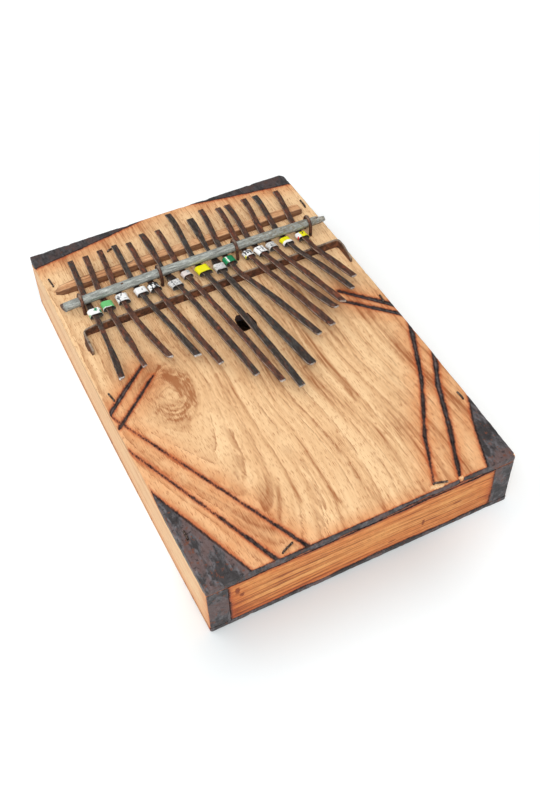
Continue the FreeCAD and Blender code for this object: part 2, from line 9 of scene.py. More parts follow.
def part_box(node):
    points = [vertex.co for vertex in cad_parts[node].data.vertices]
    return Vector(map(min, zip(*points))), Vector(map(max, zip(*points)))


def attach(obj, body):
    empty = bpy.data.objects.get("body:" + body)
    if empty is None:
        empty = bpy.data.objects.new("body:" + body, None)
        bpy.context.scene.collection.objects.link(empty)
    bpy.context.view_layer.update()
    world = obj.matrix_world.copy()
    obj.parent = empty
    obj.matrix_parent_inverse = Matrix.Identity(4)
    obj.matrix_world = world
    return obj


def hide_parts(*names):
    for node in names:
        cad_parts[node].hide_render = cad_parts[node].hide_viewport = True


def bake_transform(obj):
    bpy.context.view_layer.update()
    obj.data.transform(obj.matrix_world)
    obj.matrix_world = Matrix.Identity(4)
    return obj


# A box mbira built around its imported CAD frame. Places and sizes come from the frame, in
# millimetres inside this script and in metres in Blender. Burnt decoration, grain and wear
# are laid out from the middle of the soundboard. The last number of each noise() is its
# seed; a single cell size stands for all three directions.

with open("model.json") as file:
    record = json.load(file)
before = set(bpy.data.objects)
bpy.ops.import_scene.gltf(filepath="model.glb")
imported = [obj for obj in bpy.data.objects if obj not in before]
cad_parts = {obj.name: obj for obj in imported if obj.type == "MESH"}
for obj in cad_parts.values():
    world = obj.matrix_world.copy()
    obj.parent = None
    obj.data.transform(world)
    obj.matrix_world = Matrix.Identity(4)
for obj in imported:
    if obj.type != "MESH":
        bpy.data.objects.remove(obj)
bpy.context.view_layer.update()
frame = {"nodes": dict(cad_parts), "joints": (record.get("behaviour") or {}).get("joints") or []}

MM = 0.001
TAU = 2 * math.pi
TINY = 1e-6


# ---- the frame in millimetres

def read_items(items, key, width, kind=float):
    flat = np.zeros(len(items) * width, kind)
    items.foreach_get(key, flat)
    return flat.reshape(-1, width)


def node_points(node):
    """A CAD node's vertices, in millimetres."""
    return read_items(frame["nodes"][node].data.vertices, "co", 3) / MM


def node_edges(node):
    return read_items(frame["nodes"][node].data.edges, "vertices", 2, int)


def node_box(node):
    low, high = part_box(node)
    return np.array(low) / MM, np.array(high) / MM


def node_islands(node):
    """The separate solids of a CAD node, each as its own array of points."""
    points = node_points(node)
    keys = np.unique(points.round(3), axis=0, return_inverse=True)[1].reshape(-1)
    parent = list(range(keys.max() + 1))

    def root(a):
        while parent[a] != a:
            parent[a] = parent[parent[a]]
            a = parent[a]
        return a

    for a, b in node_edges(node):
        parent[root(keys[a])] = root(keys[b])
    owner = np.array([root(k) for k in keys])
    return [points[owner == o] for o in sorted(set(owner.tolist()))]


def crossings(node, axis, cut):
    """Where a plane across the axis meets the node's edges."""
    points, edges = node_points(node), node_edges(node)
    a, b = points[edges[:, 0]], points[edges[:, 1]]
    da, db = a[:, axis] - cut, b[:, axis] - cut
    met = (da * db <= 0) & (np.abs(da - db) > 1e-9)
    return a[met] + (b[met] - a[met]) * (da[met] / (da[met] - db[met]))[:, None]


def sections(nodes, axis, cuts):
    """Lowest and highest corner of the nodes' cross-section at each cut along an axis."""
    found = np.full((len(cuts), 6), np.nan)
    for row, cut in enumerate(cuts):
        hits = np.concatenate([crossings(node, axis, cut) for node in nodes])
        if len(hits):
            found[row] = np.r_[hits.min(0), hits.max(0)]
    order = np.argsort(cuts)
    for column in range(6):
        values = found[order, column]
        known = ~np.isnan(values)
        found[order, column] = np.interp(cuts[order], cuts[order][known], values[known])
    return found


BOARD_HIGH = node_box("soundboard")[1]
TOP = BOARD_HIGH[2]
HALF_LENGTH = BOARD_HIGH[1]
BACK_POINTS = node_points("back_board")
HALF_WIDTH = BACK_POINTS[BACK_POINTS[:, 1] > HALF_LENGTH - 0.5][:, 0].max()
BOW = BOARD_HIGH[0] - HALF_WIDTH
JOINTS = {joint["name"]: joint for joint in frame["joints"]}


# ---- small tools

def smooth(value, start, end):
    """0 at start, 1 at end, eased between; start may be above end."""
    share = np.clip((np.asarray(value, float) - start) / (end - start), 0, 1)
    return share * share * (3 - 2 * share)


def noise(points, cell, seed):
    """Value noise from -1 to 1 whose features are about one cell across."""
    table = np.random.RandomState(seed).uniform(-1, 1, (32, 32, 32))
    scaled = np.asarray(points, float) / np.asarray(cell, float) + 1000.0
    base = np.floor(scaled).astype(int)
    part = scaled - base
    part = part * part * (3 - 2 * part)
    total = np.zeros(len(scaled))
    for step in np.ndindex(2, 2, 2):
        total += table[tuple(((base + step) % 32).T)] * np.where(step, part, 1 - part).prod(1)
    return total


def unit(vectors):
    """Rows brought to length 1; rows of no length stay as they are."""
    return vectors / np.maximum(np.linalg.norm(vectors, axis=1, keepdims=True), 1e-9)


def make_piece(name, points, faces, material, slot, body=None, nodes=(), crease=None,
               flat=False, **attributes):
    """A mesh object from points in millimetres, with per-point values for its material. It
    rides on the body and replaces the CAD nodes, when they are given."""
    mesh = bpy.data.meshes.new(name)
    mesh.from_pydata((np.asarray(points) * MM).tolist(), [], [list(map(int, f)) for f in faces])
    for key, values in attributes.items():
        kind, field = ("FLOAT_COLOR", "color") if np.ndim(values) == 2 else ("FLOAT", "value")
        store = mesh.attributes.new(key, kind, "POINT")
        store.data.foreach_set(field, np.asarray(values, np.float32).ravel())
    mesh.polygons.foreach_set("use_smooth", [not flat] * len(mesh.polygons))
    mesh.materials.append(material)
    mesh.update()
    piece = bpy.data.objects.new(name, mesh)
    bpy.context.scene.collection.objects.link(piece)
    if body:
        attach(piece, body)
    if crease:
        sharpen(piece, crease)
    if nodes:
        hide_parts(*nodes)
    return piece


def sharpen(piece, angle):
    """Keeps edges steeper than the angle crisp under smooth shading."""
    piece.data.set_sharp_from_angle(angle=math.radians(angle))


def loft(rings):
    """Joins equal rings of points in order, capped at both ends: points and faces."""
    points = np.concatenate(rings)
    index = np.arange(len(points)).reshape(len(rings), -1)
    around = np.roll(index, -1, axis=1)
    faces = np.stack([index[:-1], around[:-1], around[1:], index[1:]], -1).reshape(-1, 4).tolist()
    return points, faces + [index[0][::-1].tolist(), index[-1].tolist()]


# ---- materials

def tint(red, green, blue):
    """A display colour, 0 to 255, as the linear colour that shaders use."""
    channels = [c / 255.0 for c in (red, green, blue)]
    return tuple(
        c / 12.92 if c <= 0.04045 else ((c + 0.055) / 1.055) ** 2.4 for c in channels
    ) + (1.0,)


class Value:
    """An output of a shader node, for use in sums. Colours are given as display colours."""

    def __init__(self, shader, socket):
        self.shader, self.socket = shader, socket

    def math(self, operation, other=0.0, swapped=False):
        pair = (other, self) if swapped else (self, other)
        return self.shader.take("Math", {0: pair[0], 1: pair[1]}, operation=operation)

    def __add__(self, other):
        return self.math("ADD", other)

    def __sub__(self, other):
        return self.math("SUBTRACT", other)

    def __rsub__(self, other):
        return self.math("SUBTRACT", other, swapped=True)

    def __mul__(self, other):
        return self.math("MULTIPLY", other)

    def __pow__(self, other):
        return self.math("POWER", other)

    def fade(self, start, end):
        """0 at start, 1 at end, eased between."""
        low, high, first, last = (start, end, 0.0, 1.0) if start < end else (end, start, 1.0, 0.0)
        values = {"Value": self, "From Min": low, "From Max": high, "To Min": first,
                  "To Max": last}
        return self.shader.take("MapRange", values, interpolation_type="SMOOTHSTEP")

    def ramp(self, *stops):
        node = self.shader.add("ValToRGB", {0: self})
        elements = node.color_ramp.elements
        while len(elements) < len(stops):
            elements.new(0.5)
        for element, (position, colour) in zip(elements, stops):
            element.position = position
            element.color = tint(*colour)
        return Value(self.shader, node.outputs[0])

    def mix(self, share, other, blend="MIX"):
        """This colour with a share of another one laid over it."""
        other = other if isinstance(other, Value) else tint(*other)
        return self.shader.take("Mix", {0: share, 6: self, 7: other}, 2, data_type="RGBA",
                                blend_type=blend)

    def bump(self, depth):
        """Relief whose full height is depth millimetres."""
        return self.shader.take("Bump", {"Height": self, "Distance": depth * MM, "Strength": 1.0})


class Shader:
    """Puts one node material together."""

    def __init__(self, name):
        self.material = bpy.data.materials.new(name)
        self.material.use_nodes = True
        self.tree = self.material.node_tree
        self.tree.nodes.clear()
        output = self.add("OutputMaterial")
        self.surface = self.add("BsdfPrincipled")
        self.tree.links.new(self.surface.outputs[0], output.inputs[0])

    def add(self, kind, values=(), **settings):
        node = self.tree.nodes.new("ShaderNode" + kind)
        for key, value in settings.items():
            setattr(node, key, value)
        self.feed(node, values)
        return node

    def feed(self, node, values):
        for key, value in dict(values).items():
            if isinstance(value, Value):
                self.tree.links.new(value.socket, node.inputs[key])
            else:
                node.inputs[key].default_value = value

    def take(self, kind, values=(), output=0, **settings):
        """Adds a node and gives one of its outputs."""
        return Value(self, self.add(kind, values, **settings).outputs[output])

    def attribute(self, name, output="Fac"):
        return self.take("Attribute", (), output, attribute_name=name)

    def place(self, scale):
        """Object coordinates in millimetres, times a scale."""
        coordinates = self.take("TexCoord", (), "Object")
        factor = tuple(np.broadcast_to(scale, 3) / MM)
        return self.take("VectorMath", {0: coordinates, 1: factor}, operation="MULTIPLY")

    def noise(self, place, detail=2.0, roughness=0.5):
        """Noise over a vector, or over object coordinates times a scale."""
        place = place if isinstance(place, Value) else self.place(place)
        return self.take("TexNoise", {"Vector": place, "Scale": 1.0, "Detail": detail,
                                      "Roughness": roughness})

    def done(self, colour, roughness, normal=None, metal=0.0, specular=0.5):
        self.feed(self.surface, {"Base Color": colour, "Roughness": roughness,
                                 "Metallic": metal, "Specular IOR Level": specular})
        if normal:
            self.feed(self.surface, {"Normal": normal})
        return self.material


# Burnt wood: the tanned, toasted and singed colours round it, then the char's own
HALO, TOAST, SINGE = (230, 160, 98), (188, 88, 42), (104, 52, 38)
CHAR_DARK, CHAR_MIDDLE, CHAR_PALE = (52, 48, 48), (84, 80, 82), (116, 112, 115)
CHAR_BROWN, CHAR_RUST, CHAR_BLACK = (108, 84, 80), (118, 66, 44), (40, 34, 34)
# Pore colour, and a dark brown for weathering that also serves as painted shade in the sound hole,
# inside the box and along the backrest's rear edge
PORE, WEATHERED = (176, 98, 46), (92, 56, 40)


def wood_material(name, light, middle, dark, band=0.11, contrast=1.0, pores=1.0):
    """Wood seen along its grain. Points carry grain and fibre (millimetres across the grain pattern
    and across the fibres), along, burn (millimetres outside the nearest burn, negative inside),
    figure (dark above 0, pale below; on the soundboard also painted light, paler below the tines)
    and stain (0 to 1: weathered dark, and painted shade in the sound hole, inside the box and
    along the backrest's rear edge)."""
    s = Shader(name)
    grain, fibre, along, burn, figure, stain = [
        s.attribute(key) for key in ("grain", "fibre", "along", "burn", "figure", "stain")]

    def drawn(across, pitch, run, layer, *looks):
        """Noise drawn out along the grain."""
        values = {0: across * pitch, 1: along * run, 2: layer}
        return s.noise(s.take("CombineXYZ", values), *looks)

    bands = drawn(grain, band, 0.004, 4)
    streaks = drawn(grain, band * 3.6, 0.012, 8, 2, 0.6)
    fibres = drawn(fibre, 1.2, 0.08, 2, 3, 0.65)
    clouds = s.noise(0.03)
    tone = bands * 0.5 + (streaks * 0.42 + fibres * 0.3) + clouds * 0.25
    tone = (tone - 0.735) * contrast + 0.5 - figure * (fibres.fade(0.46, 0.54) * 0.16 + 0.1)
    colour = tone.ramp((0.34, dark), (0.47, middle), (0.6, light))

    # growth rings: thin dark lines that break up
    course = grain * (band * 1.3) + drawn(grain, band * 0.8, 0.003, 20, 1) * 3
    late = (course + (streaks + fibres * 0.8) * 0.38).math("FRACT")
    vein = late ** 16 * 0.75 + late ** 3 * 0.3
    vein = vein * (clouds + fibres * 0.5).fade(0.5, 0.82)
    vein = vein * s.noise((0.3, 0.07, 0.2), 3).fade(0.34, 0.56)
    colour = colour.mix(vein, dark)
    flecks = drawn(fibre, 2.8, 0.2, 7, 1).fade(0.6, 0.68)
    # stain darkens weathered wood, and paints shade in the sound hole, inside the box and at the
    # backrest's rear edge
    colour = colour.mix(flecks * (0.7 * pores), PORE).mix(stain * 0.85, WEATHERED)

    # scorched wood, paler the further it is from the burn
    wander = s.noise(0.11)
    edge = burn + ((s.noise(0.6, 3, 0.65) - 0.5) * 1.7 + (wander - 0.5) * 1.6)
    colour = colour.mix(edge.fade(16, 0) * (wander * 0.75 + 0.1), HALO, "MULTIPLY")
    colour = colour.mix((edge + streaks * 3).fade(4.2, 1.7) * 0.72, TOAST)
    colour = colour.mix((edge + (fibres - 0.5) * 2).fade(0.9, 0) * 0.85, SINGE)

    # char, darker where it is narrow
    crust, ash = s.noise((0.6, 0.2, 0.34), 4, 0.62), s.noise(0.35, 4, 0.65)
    soot = s.noise((0.11, 0.05, 0.09))
    char = crust.ramp((0.34, CHAR_DARK), (0.5, CHAR_MIDDLE), (0.68, CHAR_PALE))
    char = char.mix(soot.fade(0.5, 0.6) * 0.7, CHAR_BROWN)
    char = char.mix(soot.fade(0.48, 0.4) * 0.8, (50, 46, 46))
    char = char.mix(ash.fade(0.58, 0.64) * 0.75, CHAR_RUST)
    # stain darkens the char too: painted shade on the sound hole's wall
    char = char.mix(ash.fade(0.42, 0.36) * 0.7, CHAR_BLACK).mix(stain * 0.6, (44, 38, 38))
    narrow, charred = burn.fade(-1.5, -0.5), edge.fade(0.25, -0.35)
    ridge = crust.ramp((0.38, (26, 20, 19)), (0.62, (74, 58, 52)))
    colour = colour.mix(charred, char.mix(narrow * 0.9, ridge))
    thin = narrow * charred
    relief = fibres * 0.6 + flecks * -0.5 + (ash + crust) * charred * 1.6
    gloss = fibres * 0.16 + charred * -0.14 + 0.5 + thin * 0.3
    return s.done(colour, gloss, relief.bump(0.14), specular=thin * -0.25 + 0.35)


def hammered_material(name):
    """Forged spring steel: dark scale, brown rust, worn arrises with a painted highlight and a
    filed bright tip.
    Points carry tip (millimetres beyond the filed part), arris (0 to 1 at the upper edges, more on
    the left: wear and a painted highlight) and rust."""
    s = Shader(name)
    tip, arris, rust = s.attribute("tip"), s.attribute("arris"), s.attribute("rust")
    mottle, speck = s.noise((1, 0.2, 1), 5, 0.68), s.noise(1.9, 3, 0.6)
    scale = mottle.ramp((0.34, (38, 32, 29)), (0.54, (66, 56, 49)), (0.74, (112, 98, 86)))
    brown = mottle.ramp((0.34, (62, 38, 30)), (0.52, (98, 62, 46)), (0.7, (134, 90, 66)))
    rusted = (s.noise((0.3, 0.12, 0.3), 3, 0.6) + rust).fade(0.4, 0.66)
    bloom = s.noise((0.5, 0.16, 0.5), 3, 0.6).fade(0.54, 0.66) * (rusted * 0.65 + 0.35)
    colour = scale.mix(rusted, brown).mix(bloom * 0.6, (150, 72, 44))
    blue = s.noise((0.45, 0.13, 0.45), 4, 0.65).fade(0.5, 0.6) * (rusted * -0.32 + 0.4)
    soot = s.noise((0.7, 0.2, 0.7), 4, 0.65).fade(0.47, 0.38)
    colour = colour.mix(blue, (84, 87, 87)).mix(soot * 0.6, (34, 27, 25))
    rubbed = (mottle + speck * 0.4).fade(0.84, 1)
    # pale upper edges: worn metal with a painted highlight, brighter on the left
    worn = arris.fade(0.45, 0.85) * mottle.fade(0.38, 0.5)
    colour = colour.mix(rubbed * 0.4, (150, 138, 126)).mix(worn * 0.7, (178, 158, 142))
    filed = (tip + (speck - 0.5) * 5).fade(0.4, -0.4)
    bright = speck.ramp((0.4, (158, 150, 144)), (0.56, (246, 243, 240)))
    rough = rusted * 0.2 + filed * -0.1 + 0.42
    return s.done(colour.mix(filed * 0.9, bright), rough, (speck * 0.4 + mottle).bump(0.18),
                  filed * 0.4 + 0.35)


def rusty_material(name):
    """Brown rust on iron. Points may carry worn (0 to 1, rubbed back to pale metal)."""
    s = Shader(name)
    mottle, grit = s.noise(0.35, 4, 0.65), s.noise(2.2, 3, 0.6)
    colour = mottle.ramp((0.34, (48, 31, 25)), (0.5, (92, 58, 44)), (0.66, (134, 86, 60)))
    rubbed = s.attribute("worn") * (mottle + grit * 0.3).fade(0.42, 0.7)
    colour = colour.mix(grit.fade(0.58, 0.7) * 0.5, (60, 52, 50)).mix(rubbed, (176, 160, 142))
    return s.done(colour, rubbed * -0.2 + 0.62, (mottle + grit * 0.5).bump(0.14),
                  rubbed * 0.4 + 0.2)


def galvanised_material(name):
    """Dull pitted zinc with dark scuffs along it, browner towards the right end, with painted shade
    underneath. Points carry span (millimetres along the box's width), under (1 underneath, where
    shade is painted) and rust."""
    s = Shader(name)
    span, under, rust = s.attribute("span"), s.attribute("under"), s.attribute("rust")
    bloom, pits = s.noise((0.16, 0.9, 0.9), 4, 0.65), s.noise((1.3, 1.6, 1.6), 3, 0.65)
    scuff = s.noise((0.1, 1.2, 1.2), 2, 0.6)
    tone = bloom * 0.6 + pits * 0.24 + 0.08
    colour = tone.ramp((0.36, (112, 113, 108)), (0.5, (160, 164, 158)), (0.64, (212, 216, 209)))
    # painted shade: darker on the rod's underside
    shade = (under + (bloom - 0.5) * 1.2).fade(0.2, 0.8)
    colour = colour.mix(shade * 0.5, (74, 74, 70)).mix(scuff.fade(0.58, 0.7) * 0.55, (84, 82, 78))
    pale_tip = span.fade(86, 96) * bloom.fade(0.42, 0.56)
    olive = span.fade(-10, 85) * s.noise(0.45, 4, 0.65).fade(0.44, 0.58)
    colour = colour.mix(pale_tip * 0.6, (222, 220, 210)).mix(olive * 0.6, (124, 108, 82))
    spots = (rust + (pits - 0.5) * 1.2).fade(0.4, 0.7)
    height = bloom + pits + scuff * 0.4
    return s.done(colour.mix(spots, (88, 58, 44)), pits * 0.16 + 0.48, height.bump(0.12), 0.2)


def tin_material(name):
    """Lacquered tin scrap: paint gives the print's colours, bare is 1 where tin shows."""
    s = Shader(name)
    paint, bare = s.attribute("paint", "Color"), s.attribute("bare")
    scratch, smudge = s.noise((1.4, 0.5, 1.4), 3, 0.7), s.noise(0.5, 3, 0.6)
    metal_tone = smudge.ramp((0.38, (164, 162, 160)), (0.56, (248, 247, 245)))
    chipped = (bare + (scratch - 0.5) * 1.3).fade(0.45, 0.6)
    colour = paint.mix(smudge.fade(0.54, 0.74) * 0.1, (92, 84, 74)).mix(chipped, metal_tone)
    return s.done(colour, smudge * 0.2 + 0.26, (smudge + scratch).bump(0.08), chipped * 0.35)


def nail_material(name):
    s = Shader(name)
    mottle = s.noise(0.8, 3, 0.6)
    colour = mottle.ramp((0.36, (46, 36, 32)), (0.56, (92, 76, 66)), (0.72, (168, 156, 146)))
    return s.done(colour, 0.34, mottle.bump(0.08), 0.7)


# Each wood's light, middle and dark colour
LIGHT_WOOD = (250, 210, 160), (234, 188, 138), (174, 114, 70)
SIDE_WOOD = (252, 212, 164), (246, 198, 148), (222, 162, 110)
FOOT_WOOD = (248, 182, 108), (224, 140, 74), (150, 78, 38)
STICK_WOOD = (238, 188, 140), (218, 162, 114), (166, 112, 74)

BOARD_FINISH = wood_material("board_wood", *LIGHT_WOOD)
SIDE_FINISH = wood_material("side_wood", *SIDE_WOOD, band=0.2, contrast=0.7, pores=0.4)
FOOT_FINISH = wood_material("foot_wood", *FOOT_WOOD, band=0.42, contrast=1.15, pores=0.5)
STICK_FINISH = wood_material("stick_wood", *STICK_WOOD, band=0.5, contrast=1.3)
TINE_FINISH = hammered_material("hammered_steel")
RUST_FINISH = rusty_material("rusty_iron")
ZINC_FINISH = galvanised_material("galvanised_zinc")
TIN_FINISH = tin_material("lacquered_tin")
NAIL_FINISH = nail_material("nail_steel")


# ---- burnt patterns

# Burnt lines on the soundboard: from (x, y) to (x, y), and half width at each end
BURNT_LINES = [
    (-67.5, 17, -84, 3, 0.9, 1.5), (-84, 3, -100.5, -12, 1.5, 1.5),
    (-64.5, 6, -98.5, -24.5, 0.8, 1.2), (-100.5, -12, -57, -109, 0.45, 0.7),
    (-57, -109, -37, -153, 0.7, 1.3), (-100.5, -42, -70, -118, 0.5, 0.8),
    (-70, -118, -56, -153, 0.8, 1.5), (74.5, 19, 102, -12, 1.4, 1.9),
    (72, 9.5, 102, -21.5, 1.2, 1.8), (102, -27, 82, -75, 1.6, 1.3),
    (82, -75, 60, -115, 1.3, 1.1), (60, -115, 44, -153, 1.1, 0.5),
    (102, -57, 88, -85, 1.8, 1.7), (88, -85, 77, -115, 1.7, 1.5),
    (77, -115, 61, -153, 1.5, 1.1),
]
LINE_SLIM = 0.2

# Burnt corners, each the area to the right of a line through these places
LEFT_CORNER = (-101.0, -74.0), (-71.5, -153.0)
RIGHT_CORNER = (79.5, -153.0), (91.5, -118.0), (102.5, -94.0)

# The head's two burnt wedges: depth at the side edge and where they end, and their bend
HEAD_BURN_LEFT, HEAD_BURN_RIGHT, HEAD_BURN_BEND = (14.5, -14.0), (14.0, 22.0), 0.85
FOOT_EDGE_BURN = 0.2

# How much faster the scorched colour fades at these edges than round the burnt lines
FOOT_HALO, HEAD_HALO = 1.4, 0.9

# Dark (above 0) and pale streaks: from (x, y) to (x, y), half width, strength
STREAKS = [
    (-30, -12, -25, -150, 0.7, 0.5), (-27, 12, -28, -40, 0.6, 0.4),
    (-5.5, -24, -7.5, -75, 0.8, 0.75), (-7.5, -70, -7, -150, 0.6, 0.7),
    (-8, -121, -7, -134, 1.1, 0.8), (8, -44, 12, -150, 0.7, 0.5),
    (21, -32, 24.5, -100, 0.5, 0.7), (33.5, 6, 34.5, -50, 0.6, 0.55),
    (36, -2, 36.5, -72, 0.8, 0.6), (38.5, -20, 38, -66, 0.5, 0.5),
    (36, -60, 38, -150, 0.6, 0.7), (47, -12, 53, -138, 0.7, 0.6),
    (62, -35, 64, -112, 0.8, 0.35), (-41, -80, -54, -104, 1.5, 0.6),
    (-33, -108, -46, -134, 1.2, 0.7), (-58.5, 13, -57, -1, 1.2, 1.4),
    (-57, 2, -53.5, -12, 2.2, 1.8), (-48, -8, -50, -24, 1.6, 1.0),
    (-54, -28, -66, -35, 1.4, 0.8), (-66, 5, -58, 11.5, 0.7, 1.2),
    (-39, 24, -36, -30, 0.8, 0.35), (18, 44, 21, 2, 2.4, 0.35),
    (43, -8, 45, -150, 2.0, -0.7), (-14, -40, -16, -145, 2.6, -0.4),
    (19, -80, 17, -150, 2.6, -0.45), (-95.5, 110, -93.5, 105, 1.1, 1.1),
    (-90.5, 99.5, -86, 97.5, 0.9, 0.9), (-94, 87.5, -89, 85.5, 0.8, 0.8),
    (-97, 55, -95, 47, 0.7, 0.8), (-24, -145, -22, -153, 5.0, 0.5),
    (-6, -147, -2, -153, 4.0, 0.5),
]


def line_distance(x, y, ax, ay, bx, by, wa=0.0, wb=0.0):
    """Distance outside a tapered stroke from a to b."""
    dx, dy = bx - ax, by - ay
    share = np.clip(((x - ax) * dx + (y - ay) * dy) / (dx * dx + dy * dy), 0, 1)
    return np.hypot(x - ax - share * dx, y - ay - share * dy) - (wa + (wb - wa) * share)


def right_of(x, y, a, b):
    """How far a point lies to the right of the line from a to b."""
    dx, dy = b[0] - a[0], b[1] - a[1]
    return ((x - a[0]) * dy - (y - a[1]) * dx) / math.hypot(dx, dy)


def burnt_lines(x, y):
    return np.min([line_distance(x, y, *line) for line in BURNT_LINES], axis=0) + LINE_SLIM


def burnt_areas(x, y):
    """Distance outside the burnt corners and edges, negative inside them."""
    left = -right_of(x, y, *LEFT_CORNER)
    right = -np.minimum(right_of(x, y, *RIGHT_CORNER[:2]), right_of(x, y, *RIGHT_CORNER[1:]))

    def wedge(depth, end, side):
        share = np.clip((x - end) * side / (HALF_WIDTH - end * side), 0, 1)
        return HALF_LENGTH - y - depth * share ** HEAD_BURN_BEND

    head = np.where(x < 0, wedge(*HEAD_BURN_LEFT, -1), wedge(*HEAD_BURN_RIGHT, 1))
    head += 3.0 * smooth(np.abs(x - 4.0), 24.0, 8.0)
    head = np.where(head > 0, HEAD_HALO * head, head)
    foot = FOOT_HALO * (y + HALF_LENGTH - FOOT_EDGE_BURN)
    return np.min([left, right, head, foot], axis=0)


# ---- wooden pieces

PLAIN_BURN = 30.0


def box_faces(index):
    """Quads over the six sides of a block of point numbers."""
    faces = []
    for axis in (2, 1, 0):
        for end in (0, -1):
            a = np.take(index, end, axis)
            quads = np.stack([a[:-1, :-1], a[1:, :-1], a[1:, 1:], a[:-1, 1:]], -1).reshape(-1, 4)
            faces.append(quads[:, ::-1] if (end == 0) != (axis == 1) else quads)
    return np.concatenate(faces)


def grid_lines(low, high, pitch, margin):
    """Grid lines from low to high, closer together within the margin at both ends."""
    count = max(2, int(round((high - low - 2 * margin) / pitch)) + 1)
    near = margin * np.array([0, 0.2, 0.55])
    return np.r_[low + near, np.linspace(low + margin, high - margin, count),
                 (high - near)[::-1]]


def slab(low, high, pitches, margins):
    """The surface of a box as quads on grid lines: points and faces."""
    lines = [grid_lines(*each) for each in zip(low, high, pitches, margins)]
    index = np.full([len(line) for line in lines], -1)
    on_surface = np.ones(index.shape, bool)
    on_surface[1:-1, 1:-1, 1:-1] = False
    where = np.argwhere(on_surface)
    index[on_surface] = np.arange(len(where))
    return np.stack([line[at] for line, at in zip(lines, where.T)], 1), box_faces(index)


def round_edges(points, low, high, radius):
    """Rounds a box's edges; returns the new points and their outward directions."""
    radius = np.broadcast_to(radius, len(points))[:, None]
    core = np.clip(points, low + radius, high - radius)
    out = unit(points - core)
    return core + out * radius, out


def board_box(node):
    """The box that a board of the full length fills before its long sides are bowed."""
    low, high = node_box(node)
    low[0], high[0] = max(low[0], -HALF_WIDTH), min(high[0], HALF_WIDTH)
    low[1], high[1] = -HALF_LENGTH, HALF_LENGTH
    return low, high


def bowed(points, inner=0.0):
    """Bends the long sides outwards, leaving everything inside the inner half width."""
    bow = BOW * (1 - (points[:, 1] / HALF_LENGTH) ** 2)
    share = np.clip((np.abs(points[:, 0]) - inner) / (HALF_WIDTH - inner), 0, None)
    moved = points.copy()
    moved[:, 0] += np.sign(points[:, 0]) * bow * share
    return moved


def wood_piece(name, points, faces, material, slot, grain, along, nodes=(), crease=None,
               **given):
    """A wooden mesh on the box; values that are not given stay plain."""
    plain = np.zeros(len(points))
    values = {"grain": grain, "fibre": grain, "along": along, "burn": plain + PLAIN_BURN,
              "figure": plain, "stain": plain, **given}
    return make_piece(name, points, faces, material, slot, "box", nodes, crease, **values)


# The knot's middle, its reach into the grain round it, and its height against its width
KNOT, KNOT_RADIUS, KNOT_STRETCH = (-62.0, -13.0), 14.0, 0.7


def board_grain(x, y):
    """Across the grain pattern, across the fibres, and the pattern's own dark and pale places."""
    flat = np.c_[x, y, np.zeros(len(x))]
    swing = 2.2 * noise(flat, (45, 120, 1), 11) + 0.7 * noise(flat, (14, 40, 1), 12)
    dx, dy = x - KNOT[0], (y - KNOT[1]) * KNOT_STRETCH
    reach = np.hypot(dx, dy)
    below = np.maximum(KNOT[1] - y, 0)
    drift = 14 * smooth(below, 10, 120)
    parted = dx * (1 - (KNOT_RADIUS / np.maximum(reach, KNOT_RADIUS)) ** 2 * 0.8) - drift
    grain = np.hypot(parted, 5 + 0.2 * below) * np.where(parted > 0, 1, 0.9) + swing
    swirl = reach + 2 * noise(flat, (7, 9, 1), 14) + 0.8 * noise(flat, (2.5, 3, 1), 15)
    heart = smooth(swirl, 17, 8)
    grain = grain * (1 - heart) + (9 + 1.5 * swirl) * heart

    figure = np.zeros(len(x))
    for number, (*ends, half, strength) in enumerate(STREAKS):
        away = line_distance(x + 0.8 * noise(flat, (9, 26, 1), 300 + number), y, *ends)
        broken = 0.65 + 0.5 * noise(flat, (4, 11, 1), 330 + number)
        figure += strength * broken * np.exp(-(away / half) ** 2)
    ring = 0.5 + 0.5 * np.sin(reach * 2.1 + 3.2 * noise(flat, (9, 12, 1), 13))
    facing = 0.25 + 0.75 * smooth(dx - dy, -12, 12)
    figure += 0.5 * ring * smooth(reach, 5, 9) * smooth(reach, 20, 13) * facing
    rim = np.exp(-((swirl - 12.5) / 4.5) ** 2) * facing
    mottle = 1 + 0.6 * noise(flat, (5, 8, 1), 16) + 0.7 * noise(flat, (1.6, 3, 1), 17)
    figure += (0.3 * np.exp(-(swirl / 17) ** 2) + 0.4 * rim) * mottle
    return grain, x + swing, figure


SOUND_HOLE, HOLE_REACH = (7.0, 22.0), 12.0


def cut_sound_hole(piece):
    """Cuts the CAD soundboard's own hole and paints its wall with char and dark colours as painted
    shade.
    """

    def at_hole(places):
        return np.hypot(*(places[:, :2] - SOUND_HOLE).T) < HOLE_REACH

    points = node_points("soundboard")
    low = points[:, 2].min()
    rim = points[(np.abs(points[:, 2] - low) < 0.01) & at_hole(points)]
    rim = np.unique(rim.round(3), axis=0)
    around = rim - rim.mean(0)
    rim = rim[np.argsort(np.arctan2(around[:, 1], around[:, 0]))]
    points, faces = loft([np.c_[rim[:, :2], np.full(len(rim), z)] for z in (low - 2, TOP + 2)])
    # the cutter is charred and stained dark: painted shade for the hole's wall
    cutter = make_piece("opening_cutter", points, faces, BOARD_FINISH, "board_wood", flat=True,
                        burn=np.full(len(points), -4.0), stain=np.ones(len(points)))
    modifier = piece.modifiers.new("opening", "BOOLEAN")
    modifier.object, modifier.operation, modifier.solver = cutter, "DIFFERENCE", "EXACT"
    evaluated = piece.evaluated_get(bpy.context.evaluated_depsgraph_get())
    made = bpy.data.meshes.new_from_object(evaluated)
    piece.modifiers.clear()
    piece.data = made
    bpy.data.objects.remove(cutter)
    places = read_items(made.vertices, "co", 3) / MM
    # painted shade: the wall below the top is charred and stained dark
    for index in np.flatnonzero(at_hole(places) & (places[:, 2] < TOP - 0.3)):
        made.attributes["burn"].data[index].value = -6.0
        made.attributes["stain"].data[index].value = 1.0


